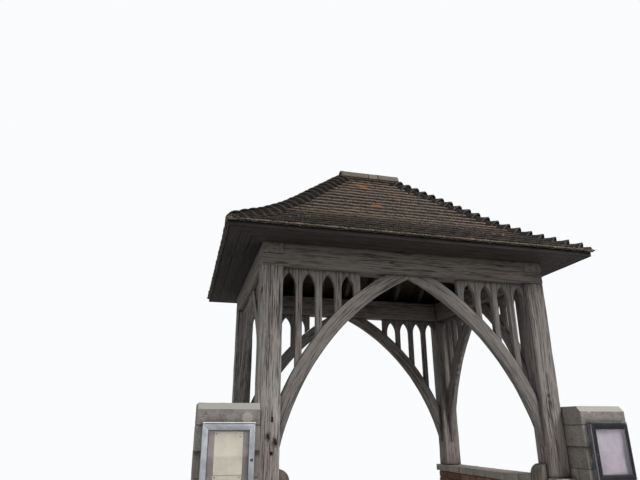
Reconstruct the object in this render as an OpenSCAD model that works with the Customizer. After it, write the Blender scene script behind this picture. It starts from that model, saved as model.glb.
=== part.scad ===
// A timber lychgate: an open oak frame on two dwarf walls, with curved arch braces,
// lancet-headed spandrels and a hipped, bell-cast roof of plain tiles.
// X runs along the front, Y from front to back, Z up. The ground is z = 0.

/* [Frame] */
// Width of the frame over the outer faces of its posts
frame_w = 2900; // [2500:10:3300]
// Depth of the frame over the outer faces of its posts
frame_d = 2240; // [2000:10:2700]
// Side of the square corner posts, and thickness of the plates on them
post_side = 200; // [170:5:240]
// Clear height of a post between its wall and the plate
post_h = 1820; // [1600:10:2100]
// Height of the plates
plate_h = 230; // [180:5:280]
// Chamfer along the upright edges of the posts
post_chamfer = 10; // [4:1:20]
// Stopped chamfer along the lower outer edge of the plates
plate_chamfer = 18; // [10:1:30]
// Distance of the chamfer's stops from the posts
chamfer_stop = 60; // [30:5:120]

/* [Arches] */
// Radius of the lower edge of an arch brace
brace_r = 2300; // [2000:10:2800]
// Depth of a brace, square to its curve
brace_deep = 135; // [110:5:170]
// Thickness of a brace
brace_t = 75; // [60:5:100]
// How far a brace lies behind the face of its frame
brace_back = 50; // [30:5:70]
// Chamfer along the lower edges of a brace
brace_chamfer = 12; // [6:1:20]
// Height of the foot of the arch above the wall
foot_h = 245; // [150:5:350]
// Length cut off the thin tip of a brace's foot
foot_cut = 20; // [12:1:30]
// Height of the meeting face of two braces below the plate
apex_h = 22; // [15:1:40]

/* [Spandrels] */
// Width of a spandrel stud
stud_w = 58; // [45:1:75]
// Thickness of a spandrel stud
stud_t = 50; // [40:1:60]
// Clear width between the studs of the front and back frames
front_gap = 128; // [100:1:140]
// Clear width between the studs of the side frames
side_gap = 92; // [75:1:105]
// Height of the timber above the point of a lancet
lancet_top = 35; // [20:1:60]
// Height of a lancet head for each millimetre of its width
lancet_rise = 1.1; // [0.9:0.05:1.4]

/* [Walls] */
// Height of the top of the dwarf walls above the ground
wall_top = 1000; // [700:10:1200]
// Thickness of a dwarf wall
wall_t = 230; // [210:5:300]
// How far a wall runs on past the posts at the front and back
wall_end = 35; // [20:5:60]
// Thickness of the wall coping
coping_t = 75; // [50:5:100]
// Overhang of the coping past the face of its wall
coping_lip = 20; // [10:1:30]
// Overhang of the coping past the end of its wall
coping_end = 35; // [20:5:60]

/* [Piers] */
// Side of the square stone piers
pier_w = 480; // [400:10:600]
// How far a pier stands in front of the post beside it
pier_front = 240; // [150:10:300]
// Height of a pier with its capstone
pier_h = 1620; // [1450:10:1800]
// Height of the capstone
cap_h = 165; // [120:5:200]
// Fall of the sloped front and back edges of the capstone
cap_fall = 50; // [30:5:70]

/* [Notice cases] */
// Width of a notice case
case_w = 390; // [330:5:430]
// Height of a notice case
case_h = 490; // [400:5:560]
// Depth of a notice case with its door
case_d = 58; // [50:1:80]
// Distance of a case below the top of its pier
case_drop = 145; // [110:5:220]
// Thickness of the case's sides and back
case_skin = 3; // [2:0.5:5]
// Thickness of its top and bottom, which reach over the door
case_lid = 8; // [5:1:12]
// Thickness of the door's frame
door_t = 18; // [16:1:24]
// Clearance between the door and its case
door_gap = 6; // [5:0.5:8]
// Width of the door's frame around its pane
case_rim = 43; // [30:1:55]
// Thickness of the pane
pane_t = 4; // [3:0.5:6]
// How far the pane laps behind the door's frame
pane_lap = 8; // [4:1:12]
// Depth of the pane behind the front of the door
pane_back = 7; // [5:1:9]
// Radius of the pins that the door turns on
pin_r = 3; // [2.5:0.5:4]
// How far a pin reaches into the door
pin_in = 15; // [10:1:25]

/* [Gate posts] */
// Width of the low gate posts inside the opening
gate_w = 95; // [75:5:120]
// Depth of the low gate posts
gate_d = 140; // [100:5:160]
// Height of a gate post above the wall beside it
gate_rise = 120; // [60:5:200]
// Distance of a gate post behind the front of the frame
gate_back = 55; // [40:5:60]

/* [Roof] */
// Overhang of the eaves past the frame, on all four sides
eaves = 370; // [300:10:450]
// Pitch of the main slopes
pitch = 44; // [40:0.5:50]
// Pitch of the bell-cast eaves
bell_pitch = 33; // [25:0.5:35]
// Run of the bell-cast eaves, seen from above
bell_run = 520; // [420:10:560]
// Number of tile courses
courses = 20; // [16:1:24]
// Thickness of a tile at its nose
nose_t = 14; // [8:1:18]
// Thickness of the tiling with its battens, below the noses
tiling_t = 42; // [35:1:50]
// Height of the underside of the tiling at its edge, above the top of the plates
edge_h = -14; // [-40:1:20]

/* [Rafters] */
// Width of a rafter
rafter_w = 50; // [40:5:65]
// Depth of a rafter, square to its slope
rafter_deep = 150; // [140:2:170]
// Greatest distance between the middles of two rafters
rafter_gap = 400; // [300:10:450]
// Depth of the sprocket on a rafter foot, square to its slope
sprocket_deep = 75; // [60:1:85]
// How far a sprocket's foot stays behind the edge of the tiles
sprocket_back = 45; // [30:5:80]
// How far a rafter's foot runs past the plate
rafter_foot = 70; // [40:5:100]
// Thickness of the ridge board and the hip rafters
ridge_t = 40; // [30:2:50]
// Clearance where roof timbers, bonnets and ridge tiles lie on their seats
seat = 0.1; // [0.05:0.05:0.3]
// Depth of the ridge board
ridge_deep = 220; // [180:5:240]

/* [Hips and ridge] */
// Radius of a bonnet tile at its nose
bonnet_nose = 150; // [130:1:165]
// Radius of a bonnet tile at its head
bonnet_head = 108; // [100:1:122]
// Depth of the bonnets' centre line below the hip
bonnet_drop = 97; // [85:1:105]
// How far the lowest bonnets reach past the eaves
bonnet_over = 12; // [5:1:25]
// Outer radius of a ridge tile
ridge_r = 105; // [90:1:130]
// Depth of the ridge tiles' centre line below the meeting of the slopes
ridge_drop = 30; // [10:1:50]
// How far the ridge tiles run past the points where the hips meet
ridge_over = 39; // [20:1:60]
// Middles of the two mortar joints between the ridge tiles, from the left end of the row
ridge_joints = [339, 462]; // [60:1:680]
// Width and depth of the mortar joints
joint_w = 8; // [6:1:14]

/* [Hidden] */

oak = "#7d766c";
oak_shade = "#5e5750";
stone = "#a09a8e";
brick = "#7a6a5e";
tile = "#5d4b40";
metal = "#b9bcc0";

// The posts' outer and inner faces, from the middle of the gate
out_x = frame_w / 2;
out_y = frame_d / 2;
in_x = out_x - post_side;
in_y = out_y - post_side;
plate_z = wall_top + post_h;
plate_top = plate_z + plate_h;

// Plan of the roof: half lengths of the eaves, and the run from eaves to ridge
eave_x = out_x + eaves;
eave_y = out_y + eaves;
run = eave_y;
bell_len = bell_run / cos(bell_pitch);
slope_len = bell_len + (run - bell_run) / cos(pitch);
gauge = slope_len / courses;
knee_course = floor(bell_len / gauge);
edge_z = plate_top + edge_h;
ridge_half = eave_x - eave_y;
ridge_row_l = 2 * (ridge_half + ridge_over);
ridge_starts = concat([-joint_w / 2], ridge_joints);
ridge_ends = concat(ridge_joints, [ridge_row_l + joint_w / 2]);
far = 4 * frame_w;

// The notice cases' doors, from the middle of the case's back
door_h = case_h - 2 * (case_lid + door_gap);
pane_w = case_w - 2 * case_rim + 2 * pane_lap;
pane_h = door_h - 2 * case_rim + 2 * pane_lap;
pin_x = door_t / 2 - case_w / 2;
pin_y = door_t / 2 - case_d;
pin_play = 0.05;
pin_room = 5;

// Point of the roof slope at a distance up from the eaves, as [run, height], and the way up from it
function slope_at(s) = s <= bell_len
    ? [s * cos(bell_pitch), s * sin(bell_pitch)]
    : [bell_run + (s - bell_len) * cos(pitch), bell_run * tan(bell_pitch) + (s - bell_len) * sin(pitch)];
function slope_out(s) = s < bell_len ? [-sin(bell_pitch), cos(bell_pitch)] : [-sin(pitch), cos(pitch)];
// Height of a line that lies square below the slope, over a given run
function bell_under(r, deep) = r * tan(bell_pitch) - deep / cos(bell_pitch);
function main_under(r, deep) =
    bell_run * tan(bell_pitch) + (r - bell_run) * tan(pitch) - deep / cos(pitch);
// Run at which two lines below the bell-cast and the main slope meet
function knee_run(deep) = bell_run + deep * (1 / cos(pitch) - 1 / cos(bell_pitch))
    / (tan(pitch) - tan(bell_pitch));
tile_base = edge_z + tiling_t / cos(bell_pitch);
// Rafters and sprockets end level with the top of the plates from the eaves to this run
notch_end = eaves + post_side + seat;
apex_z = tile_base + slope_at(slope_len)[1];

// Centre of the arc of radius r that rises from a to b and bulges to the left
function arc_centre(a, b, r) =
    let (d = b - a, l = norm(d), h = sqrt(r * r - l * l / 4))
    (a + b) / 2 + [d[1], -d[0]] / l * h;

// Every piece is drawn at the front left, where x and y are below 0, and mirrored from there
module to_right() {
    mirror([1, 0, 0]) children();
}

module to_back() {
    mirror([0, 1, 0]) children();
}

module both_sides() {
    children();
    to_right() children();
}

module both_ends() {
    children();
    to_back() children();
}

module dwarf_wall() {
    color(brick)
    translate([-in_x - wall_t, -out_y - wall_end, 0])
    cube([wall_t, frame_d + 2 * wall_end, wall_top - coping_t]);
}

module gate_post_space() {
    translate([-in_x, -out_y + gate_back, 0])
    cube([gate_w, gate_d, wall_top + gate_rise]);
}

module wall_coping() {
    end = wall_end + coping_end;
    color(stone)
    difference() {
        translate([-in_x - wall_t - coping_lip, -out_y - end, wall_top - coping_t])
        cube([wall_t + 2 * coping_lip, frame_d + 2 * end, coping_t]);
        gate_post_space();
        pier_space(0);
    }
}

module pier_space(z) {
    translate([-out_x - pier_w, -out_y - pier_front, z])
    cube([pier_w, pier_w, pier_h]);
}

module pier() {
    color(stone)
    difference() {
        intersection() {
            pier_space(0);
            translate([-far, -far, 0])
            cube([2 * far, 2 * far, pier_h - cap_h]);
        }
        translate([-in_x - wall_t, -out_y - far, 0])
        cube([wall_t, 2 * far, wall_top - coping_t]);
    }
}

module pier_cap() {
    color(stone)
    translate([-out_x - pier_w, -out_y - pier_front, pier_h - cap_h])
    rotate([90, 0, 90])
    linear_extrude(pier_w)
    polygon([
        [0, 0], [pier_w, 0], [pier_w, cap_h - cap_fall], [pier_w - cap_fall, cap_h],
        [cap_fall, cap_h], [0, cap_h - cap_fall]
    ]);
}

module corner_post() {
    c = post_chamfer;
    s = post_side;
    color(oak)
    translate([-out_x, -out_y, wall_top])
    linear_extrude(post_h)
    polygon([[c, 0], [s - c, 0], [s, c], [s, s - c], [s - c, s], [c, s], [0, s - c], [0, c]]);
}

// Cuts the lower outer edge of a plate that lies along x, its face at a distance to the front
module chamfer_cut(face, length) {
    translate([-length / 2, -face, plate_z])
    rotate([90, 0, 90])
    linear_extrude(length)
    polygon([[-1, -1], [plate_chamfer, -1], [plate_chamfer, 0], [0, plate_chamfer], [-1, plate_chamfer]]);
}

// The plates are halved over each other at the corners
module long_plate() {
    color(oak_shade)
    difference() {
        translate([-out_x, -out_y, plate_z])
        cube([frame_w, post_side, plate_h]);
        for (side = [-1, 1])
            translate([side * (out_x - post_side / 2), -out_y + post_side / 2, plate_z + plate_h])
            cube([post_side, post_side, plate_h], center = true);
        chamfer_cut(out_y, 2 * (in_x - chamfer_stop));
    }
}

module cross_plate() {
    color(oak_shade)
    difference() {
        translate([-out_x, -out_y, plate_z])
        cube([post_side, frame_d, plate_h]);
        for (side = [-1, 1])
            translate([-out_x + post_side / 2, side * (out_y - post_side / 2), plate_z])
            cube([post_side, post_side, plate_h], center = true);
        mirror([1, -1, 0]) chamfer_cut(out_x, 2 * (in_y - chamfer_stop));
    }
}

// Outline between two arcs, in the plane of a frame: x from the post's face, y up from the wall
module brace_outline(half) {
    a = [0, foot_h];
    b = [half, post_h - apex_h];
    c = arc_centre(a, b, brace_r);
    intersection() {
        translate([0, foot_h + foot_cut]) square([half, post_h - foot_h - foot_cut]);
        difference() {
            translate(c) circle(r = brace_r + brace_deep, $fn = 720);
            translate(c) circle(r = brace_r, $fn = 720);
        }
    }
}

// A half frame stands in the x-z plane with its post's inner face at x = 0 and its face at y = 0
module half_frame_brace(half) {
    c = arc_centre([0, foot_h], [half, post_h - apex_h], brace_r);
    color(oak)
    translate([0, brace_back + brace_t, wall_top])
    rotate([90, 0, 0])
    difference() {
        linear_extrude(brace_t) brace_outline(half);
        translate([c[0], c[1], brace_t / 2])
        for (side = [0, 1])
            mirror([0, 0, side])
            rotate_extrude($fn = 720)
            polygon([
                [brace_r - 1, brace_t / 2 - brace_chamfer - 1],
                [brace_r + brace_chamfer + 1, brace_t / 2 + 1],
                [brace_r - 1, brace_t / 2 + 1]
            ]);
    }
}

module lancet(w) {
    r = w / 4 + lancet_rise * lancet_rise * w;
    rise = lancet_rise * w;
    translate([0, -rise])
    intersection() {
        translate([w / 2 - r, 0]) circle(r = r, $fn = 48);
        translate([r - w / 2, 0]) circle(r = r, $fn = 48);
        translate([-w / 2, 0]) square([w, rise]);
    }
    translate([-w / 2, -post_h]) square([w, post_h - rise + 0.01]);
}

module half_frame_spandrel(half, gap) {
    step = gap + stud_w;
    c = arc_centre([0, foot_h], [half, post_h - apex_h], brace_r);
    color(oak)
    translate([0, brace_back + (brace_t + stud_t) / 2, wall_top])
    rotate([90, 0, 0])
    linear_extrude(stud_t)
    difference() {
        square([4 * step, post_h]);
        translate(c) circle(r = brace_r + brace_deep, $fn = 720);
        for (i = [0:3])
            translate([i * step + gap / 2, post_h - lancet_top]) lancet(gap);
    }
}

// Places a half frame of the front frame, left half
module front_half() {
    translate([-in_x, -out_y, 0]) children();
}

// Places a half frame of the left frame, front half
module left_half() {
    translate([-out_x, -in_y, 0]) mirror([1, -1, 0]) children();
}

// Section of a slope between two depths below the tiles' base, in run and height
module tiling_section() {
    translate([0, tile_base])
    polygon(concat(
        [for (i = [0:courses - 1]) each [
            slope_at(i * gauge),
            slope_at(i * gauge) + nose_t * slope_out(i * gauge)
        ]],
        [[run, slope_at(slope_len)[1]]],
        [
            [run, main_under(run, tiling_t)],
            [knee_run(tiling_t), bell_under(knee_run(tiling_t), tiling_t)],
            [0, bell_under(0, tiling_t)]
        ]
    ));
}

// Everything below the noses of the tiles, to cut the bonnets and ridge tiles to the slopes
module nose_section() {
    lift = nose_t + seat;
    translate([0, tile_base])
    polygon([
        [-run, bell_under(-run, -lift)],
        slope_at(knee_course * gauge) + lift * slope_out(knee_course * gauge),
        slope_at((knee_course + 1) * gauge) + lift * slope_out((knee_course + 1) * gauge),
        [2 * run, main_under(2 * run, -lift)],
        [2 * run, -far],
        [-run, -far]
    ]);
}

module rafter_section() {
    top = tiling_t + seat;
    foot = eaves - rafter_foot;
    deep = tiling_t + rafter_deep;
    sdeep = tiling_t + sprocket_deep;
    knee = knee_run(top);
    inner = run - ridge_t / 2;
    translate([0, tile_base])
    difference() {
        polygon([
            [sprocket_back, bell_under(sprocket_back, top)],
            [knee, bell_under(knee, top)],
            [inner, main_under(inner, top)],
            [inner, main_under(inner, deep)],
            [foot, main_under(foot, deep)],
            [foot, bell_under(foot, sdeep)],
            [sprocket_back, bell_under(sprocket_back, sdeep)]
        ]);
        translate([-far, -far - tile_base + plate_top + seat]) square([far + notch_end, far]);
    }
}

// Sweeps a section of the slopes along the front eaves
module along_front(length) {
    translate([-length / 2, -eave_y, 0])
    rotate([90, 0, 90])
    linear_extrude(length)
    children();
}

// The front slope as seen from above, drawn back from the hips by a clearance
module front_plan(back) {
    b = back * sqrt(2);
    polygon([
        [-eave_x + b, -eave_y], [eave_x - b, -eave_y], [ridge_half - b, 0], [-ridge_half + b, 0]
    ]);
}

module left_plan(back) {
    b = back * sqrt(2);
    polygon([[-eave_x, -eave_y + b], [-eave_x, eave_y - b], [-ridge_half - b, 0]]);
}

// An upright prism over a plan, taller than the roof
module prism() {
    translate([0, 0, -far]) linear_extrude(2 * far) children();
}

// Turns the front slope into the left one: it ends where the two hips meet
module turned_left() {
    translate([-eave_x + eave_y, 0, 0]) rotate([0, 0, -90]) children();
}

module long_tiling() {
    color(tile)
    intersection() {
        along_front(2 * eave_x) tiling_section();
        prism() front_plan(0);
    }
}

module end_tiling() {
    color(tile)
    intersection() {
        turned_left() along_front(2 * eave_y) tiling_section();
        prism() left_plan(0);
    }
}

module rafter_row(length) {
    n = ceil(length / rafter_gap);
    step = length / n;
    for (i = [0:n])
        translate([-length / 2 + i * step, 0, 0])
        along_front(rafter_w) rafter_section();
}

module long_rafters() {
    color(oak_shade)
    intersection() {
        rafter_row(frame_w - rafter_w);
        prism() front_plan(ridge_t / 2 + seat);
    }
}

module end_rafters() {
    color(oak_shade)
    intersection() {
        turned_left() rafter_row(frame_d - rafter_w);
        prism() left_plan(ridge_t / 2 + seat);
    }
}

// Section of a hip rafter in the upright plane of its hip: run of the slopes and height
module hip_section() {
    drop = ridge_t / 2 * sqrt(2) * tan(pitch);
    top = tiling_t + seat;
    deep = tiling_t + rafter_deep;
    sdeep = tiling_t + sprocket_deep;
    foot = eaves - rafter_foot;
    knee = knee_run(top);
    inner = run - ridge_t / 2;
    translate([0, tile_base - drop])
    difference() {
        polygon([
            [sprocket_back, bell_under(sprocket_back, top)],
            [knee, bell_under(knee, top)],
            [inner, main_under(inner, top)],
            [inner, main_under(inner, deep)],
            [foot, main_under(foot, deep)],
            [foot, bell_under(foot, sdeep)],
            [sprocket_back, bell_under(sprocket_back, sdeep)]
        ]);
        translate([-far, -far - tile_base + drop + plate_top + seat]) square([far + notch_end, far]);
    }
}

module hip_rafter() {
    color(oak_shade)
    translate([-eave_x, -eave_y, 0])
    rotate([90, 0, 45])
    translate([0, 0, -ridge_t / 2])
    linear_extrude(ridge_t)
    scale([sqrt(2), 1]) hip_section();
}

module ridge_beam() {
    top = tile_base + main_under(run, tiling_t) - ridge_t / 2 * tan(pitch);
    color(oak_shade)
    translate([-ridge_half, -ridge_t / 2, top - ridge_deep])
    cube([2 * ridge_half, ridge_t, ridge_deep]);
}

// Bonnet tiles on one straight stretch of hip: a row of cones along the z axis
module bonnet_row(length, count) {
    step = length / count;
    rotate_extrude($fn = 32)
    polygon(concat(
        [[0, 0]],
        [for (i = [0:count - 1]) each [[bonnet_nose, i * step], [bonnet_head, (i + 1) * step]]],
        [[0, length]]
    ));
}

module bonnet_line() {
    bell_n = round(bell_len / gauge);
    rise = bell_run * tan(bell_pitch);
    plan = bell_run * sqrt(2);
    up = atan2(rise, plan);
    plan2 = (run - bell_run) * sqrt(2);
    rise2 = (run - bell_run) * tan(pitch);
    up2 = atan2(rise2, plan2);
    translate([-eave_x, -eave_y, tile_base])
    rotate([0, 0, 45]) {
        rotate([0, 90 - up, 0])
        translate([bonnet_drop, 0, 0])
        bonnet_row(norm([plan, rise]), bell_n);
        translate([plan, 0, rise])
        rotate([0, 90 - up2, 0])
        translate([bonnet_drop, 0, 0])
        bonnet_row(norm([plan2, rise2]), courses - bell_n);
    }
}

// A round bar on the ridge, centred on the gate
module ridge_bar(r, length) {
    translate([-length / 2, 0, apex_z - ridge_drop])
    rotate([0, 90, 0])
    cylinder(r = r, h = length, $fn = 48);
}

// The bonnets end against the ridge tiles
module bonnet_hip() {
    color(tile)
    difference() {
        bonnet_line();
        intersection() {
            along_front(2 * far) nose_section();
            turned_left() along_front(2 * far) nose_section();
        }
        translate([-ridge_row_l / 2, -far, 0]) cube([far, 2 * far, 2 * far]);
        translate([-far, 0, 0]) cube([2 * far, far, 2 * far]);
        translate([-far - eave_x - bonnet_over, -far, 0]) cube([far, 2 * far, 2 * far]);
        translate([-far, -far - eave_y - bonnet_over, 0]) cube([2 * far, far, 2 * far]);
    }
}

module ridge_row() {
    color(tile)
    difference() {
        union() {
            ridge_bar(ridge_r - joint_w, ridge_row_l);
            for (i = [0:2])
                translate([(ridge_starts[i] + ridge_ends[i] - ridge_row_l) / 2, 0, 0])
                ridge_bar(ridge_r, ridge_ends[i] - ridge_starts[i] - joint_w);
        }
        intersection() {
            along_front(2 * far) nose_section();
            to_back() along_front(2 * far) nose_section();
        }
    }
}

// Places a notice case: the middle of its back is the origin
module on_pier() {
    translate([-out_x - pier_w / 2, -out_y - pier_front, pier_h - case_drop - case_h / 2])
    children();
}

module upright_box(w, front, back, h) {
    translate([-w / 2, front, -h / 2]) cube([w, back - front, h]);
}

// Places a pin or its hole at the top and the bottom of the door's outer edge
module at_pins(from) {
    for (end = [0, 1])
        mirror([0, 0, end])
        translate([pin_x, pin_y, from])
        children();
}

module notice_case() {
    inside_h = case_h - 2 * case_lid;
    color(metal)
    on_pier() {
        difference() {
            upright_box(case_w, -case_d, 0, case_h);
            upright_box(case_w - 2 * case_skin, -case_d - 1, -case_skin, inside_h);
            upright_box(case_w + 2, -case_d - 1, door_t + door_gap - case_d, inside_h);
        }
        at_pins(door_h / 2 - pin_in) cylinder(r = pin_r, h = pin_in + door_gap + case_lid / 2, $fn = 24);
    }
}

module notice_door() {
    color(metal)
    on_pier()
    difference() {
        translate([0, pin_y, -door_h / 2])
        linear_extrude(door_h) {
            square([2 * -pin_x, door_t], center = true);
            for (side = [-1, 1])
                translate([side * pin_x, 0]) circle(r = door_t / 2, $fn = 48);
        }
        upright_box(pane_w - 2 * pane_lap, -case_d - 1, 0, pane_h - 2 * pane_lap);
        upright_box(pane_w, pane_back - case_d, 0, pane_h);
        at_pins(door_h / 2 - pin_in - pin_room) cylinder(r = pin_r + pin_play, h = case_lid + pin_in + pin_room, $fn = 24);
    }
}

module notice_pane() {
    color("#cfd2d8")
    on_pier()
    upright_box(pane_w, pane_back - case_d, pane_back + pane_t - case_d, pane_h);
}

module gate_post() {
    color(oak_shade)
    intersection() {
        gate_post_space();
        translate([-in_x, 0, 0])
        rotate([90, 0, 0])
        prism() {
            square([gate_w, wall_top + gate_rise - gate_w]);
            translate([0, wall_top + gate_rise - gate_w]) circle(r = gate_w, $fn = 64);
        }
    }
}

dwarf_wall();  // left_dwarf_wall
to_right() dwarf_wall();  // right_dwarf_wall
both_sides() wall_coping();  // wall_copings
pier();  // left_pier
to_right() pier();  // right_pier
both_sides() pier_cap();  // pier_caps
corner_post();  // front_left_post
to_right() corner_post();  // front_right_post
to_back() corner_post();  // back_left_post
to_right() to_back() corner_post();  // back_right_post
long_plate();  // front_plate
to_back() long_plate();  // back_plate
cross_plate();  // left_plate
to_right() cross_plate();  // right_plate
front_half() half_frame_brace(in_x);  // front_left_brace
to_right() front_half() half_frame_brace(in_x);  // front_right_brace
to_back() front_half() half_frame_brace(in_x);  // back_left_brace
to_right() to_back() front_half() half_frame_brace(in_x);  // back_right_brace
left_half() half_frame_brace(in_y);  // left_front_brace
to_back() left_half() half_frame_brace(in_y);  // left_back_brace
to_right() left_half() half_frame_brace(in_y);  // right_front_brace
to_right() to_back() left_half() half_frame_brace(in_y);  // right_back_brace
both_sides() front_half() half_frame_spandrel(in_x, front_gap);  // front_spandrels
to_back() both_sides() front_half() half_frame_spandrel(in_x, front_gap);  // back_spandrels
both_ends() left_half() half_frame_spandrel(in_y, side_gap);  // left_spandrels
to_right() both_ends() left_half() half_frame_spandrel(in_y, side_gap);  // right_spandrels
long_rafters();  // front_rafters
to_back() long_rafters();  // back_rafters
end_rafters();  // left_rafters
to_right() end_rafters();  // right_rafters
both_sides() both_ends() hip_rafter();  // hip_rafters
ridge_beam();  // ridge_board
long_tiling();  // front_tiling
to_back() long_tiling();  // back_tiling
end_tiling();  // left_tiling
to_right() end_tiling();  // right_tiling
both_sides() both_ends() bonnet_hip();  // bonnet_hips
ridge_row();  // ridge_tiles
notice_case();  // left_notice_case
notice_door();  // left_notice_door
notice_pane();  // left_notice_pane
to_right() notice_case();  // right_notice_case
to_right() notice_door();  // right_notice_door
to_right() notice_pane();  // right_notice_pane
both_sides() gate_post();  // gate_posts
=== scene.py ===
import math
import random

import bpy
from mathutils import Matrix, Vector


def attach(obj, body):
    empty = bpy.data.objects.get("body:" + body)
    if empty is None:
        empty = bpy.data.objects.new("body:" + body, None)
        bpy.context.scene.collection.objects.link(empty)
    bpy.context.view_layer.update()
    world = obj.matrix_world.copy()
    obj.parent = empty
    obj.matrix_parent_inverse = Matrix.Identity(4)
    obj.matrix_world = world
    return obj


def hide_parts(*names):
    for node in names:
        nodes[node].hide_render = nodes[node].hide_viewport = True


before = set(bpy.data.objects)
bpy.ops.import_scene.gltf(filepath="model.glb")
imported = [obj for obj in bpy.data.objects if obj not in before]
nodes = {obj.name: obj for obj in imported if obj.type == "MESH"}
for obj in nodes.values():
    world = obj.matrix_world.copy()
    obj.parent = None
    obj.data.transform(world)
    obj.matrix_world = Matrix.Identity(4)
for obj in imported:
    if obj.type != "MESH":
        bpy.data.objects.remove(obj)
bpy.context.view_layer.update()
scene = bpy.context.scene
chance = random.Random(7)
X, Y, Z = AXES = Vector((1, 0, 0)), Vector((0, 1, 0)), Vector((0, 0, 1))
SIDES = ((-1, "left"), (1, "right"))

# Sizes of the lychgate in metres, the same as the construction's
PLATE_Z, PLATE_TOP = 2.820, 3.050
POST_FACE = -1.120
EAVE_X, EAVE_Y = 1.820, 1.490
BELL_PITCH, PITCH = math.radians(33), math.radians(44)
BELL_RUN = 0.520
BELL_LEN = BELL_RUN / math.cos(BELL_PITCH)
SLOPE_LEN = BELL_LEN + (EAVE_Y - BELL_RUN) / math.cos(PITCH)
COURSES = 20
GAUGE = SLOPE_LEN / COURSES
NOSE = 0.014
TILE_BASE = 3.036 + 0.042 / math.cos(BELL_PITCH)
APEX = TILE_BASE + BELL_RUN * math.tan(BELL_PITCH) + (EAVE_Y - BELL_RUN) * math.tan(PITCH)
RIDGE_AXIS = APEX - 0.030
RIDGE_ROW = 0.738
WALL_X, WALL_HALF_T, WALL_HALF_L, WALL_H = 1.365, 0.115, 1.155, 0.925
PIER_X, PIER_Y = 1.690, -1.120


# A colour as it is seen, given in steps of 255
def seen(*shade):
    levels = [v / 255 for v in shade]
    return (*[v / 12.92 if v <= 0.04045 else ((v + 0.055) / 1.055) ** 2.4 for v in levels], 1.0)


# ---- modelling by hand

def nothing_selected():
    if bpy.context.mode != "OBJECT":
        bpy.ops.object.mode_set(mode="OBJECT")
    bpy.ops.object.select_all(action="DESELECT")


def pick(piece):
    nothing_selected()
    piece.select_set(True)
    bpy.context.view_layer.objects.active = piece


# Opens a piece for work with all of it chosen
def open_whole(piece):
    pick(piece)
    bpy.ops.object.mode_set(mode="EDIT")
    bpy.ops.mesh.select_mode(type="FACE")
    bpy.ops.mesh.select_all(action="SELECT")


def end_edit():
    bpy.ops.object.mode_set(mode="OBJECT")


# Opens a piece with those of its points, edges or faces chosen for which a test holds
def choose(piece, kind, test):
    pick(piece)
    mesh = piece.data
    for name, parts in (("VERT", mesh.vertices), ("EDGE", mesh.edges), ("FACE", mesh.polygons)):
        parts.foreach_set("select", [name == kind and bool(test(part)) for part in parts])
    bpy.ops.object.mode_set(mode="EDIT")
    bpy.ops.mesh.select_mode(type=kind)


# Stretches or shifts those points of a piece for whose place a test holds
def stretch(piece, test, factors, middle=(0, 0, 0)):
    choose(piece, "VERT", lambda v: test(v.co))
    bpy.ops.transform.resize(value=factors, center_override=middle)
    end_edit()


def shift(piece, test, by):
    choose(piece, "VERT", lambda v: test(v.co))
    bpy.ops.transform.translate(value=by)
    end_edit()


# The test is given the places of both ends of an edge
def bevel_edges(piece, test, width, segments=1):
    choose(piece, "EDGE", lambda e: test(*(piece.data.vertices[i].co for i in e.vertices)))
    bpy.ops.mesh.bevel(offset=width, segments=segments, affect="EDGES")
    end_edit()


# Sets faces inwards step by step, each step with its width and depth
def inset_faces(piece, test, *steps):
    choose(piece, "FACE", test)
    for width, depth in steps:
        bpy.ops.mesh.inset(thickness=width, depth=depth)
    end_edit()


def settle(piece):
    pick(piece)
    bpy.ops.object.transform_apply(location=True, rotation=True, scale=True)
    return piece


# A new piece from one of the basic solids
def made(solid, name="piece", **sizes):
    nothing_selected()
    solid(**sizes)
    piece = bpy.context.object
    piece.name = name
    return settle(piece)


def block(name, low, high):
    low, high = Vector(low), Vector(high)
    return made(bpy.ops.mesh.primitive_cube_add, name, size=1, location=(low + high) / 2,
                scale=high - low)


# Cuts a ring of edges into a piece, which takes nothing away unless more is asked
def ring(piece, point, normal, **more):
    open_whole(piece)
    bpy.ops.mesh.bisect(plane_co=point, plane_no=normal, **more)
    end_edit()


def ring_at(piece, axis, at):
    ring(piece, AXES[axis] * at, AXES[axis])


# Takes off what lies on the side to which the normal points
def cut(piece, point, normal, fill=True):
    ring(piece, point, normal, clear_outer=True, use_fill=fill)


# Keeps what lies between two heights on an axis; None leaves a side open
def trim(piece, axis, low, high):
    if low is not None:
        cut(piece, AXES[axis] * low, -AXES[axis])
    if high is not None:
        cut(piece, AXES[axis] * high, AXES[axis])


def face_outwards(piece):
    open_whole(piece)
    bpy.ops.mesh.remove_doubles(threshold=0.00005)
    bpy.ops.mesh.normals_make_consistent(inside=False)
    end_edit()


def use_modifier(piece, kind, **settings):
    pick(piece)
    mod = piece.modifiers.new(kind.lower(), kind)
    for key, value in settings.items():
        setattr(mod, key, value)
    bpy.ops.object.modifier_apply(modifier=mod.name)


def smooth(piece, degrees):
    pick(piece)
    bpy.ops.object.shade_smooth_by_angle(angle=math.radians(degrees))


# Where a piece goes when its own axes point along three given ways
def placing(ways, origin):
    grid = Matrix(ways).transposed().to_4x4()
    grid.translation = origin
    return grid


def another(piece, place=Matrix.Identity(4)):
    extra = piece.copy()
    extra.data = piece.data.copy()
    extra.matrix_world = place
    scene.collection.objects.link(extra)
    return extra


def joined(name, pieces):
    nothing_selected()
    for p in pieces:
        p.select_set(True)
    bpy.context.view_layer.objects.active = pieces[0]
    if len(pieces) > 1:
        bpy.ops.object.join()
    piece = bpy.context.object
    piece.name = name
    return settle(piece)


def throw_away(*pieces):
    for piece in pieces:
        bpy.data.objects.remove(piece, do_unlink=True)


def unevenness(name, size, depth):
    texture = bpy.data.textures.new(name, "CLOUDS")
    texture.noise_scale, texture.noise_depth = size, depth
    return texture


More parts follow.
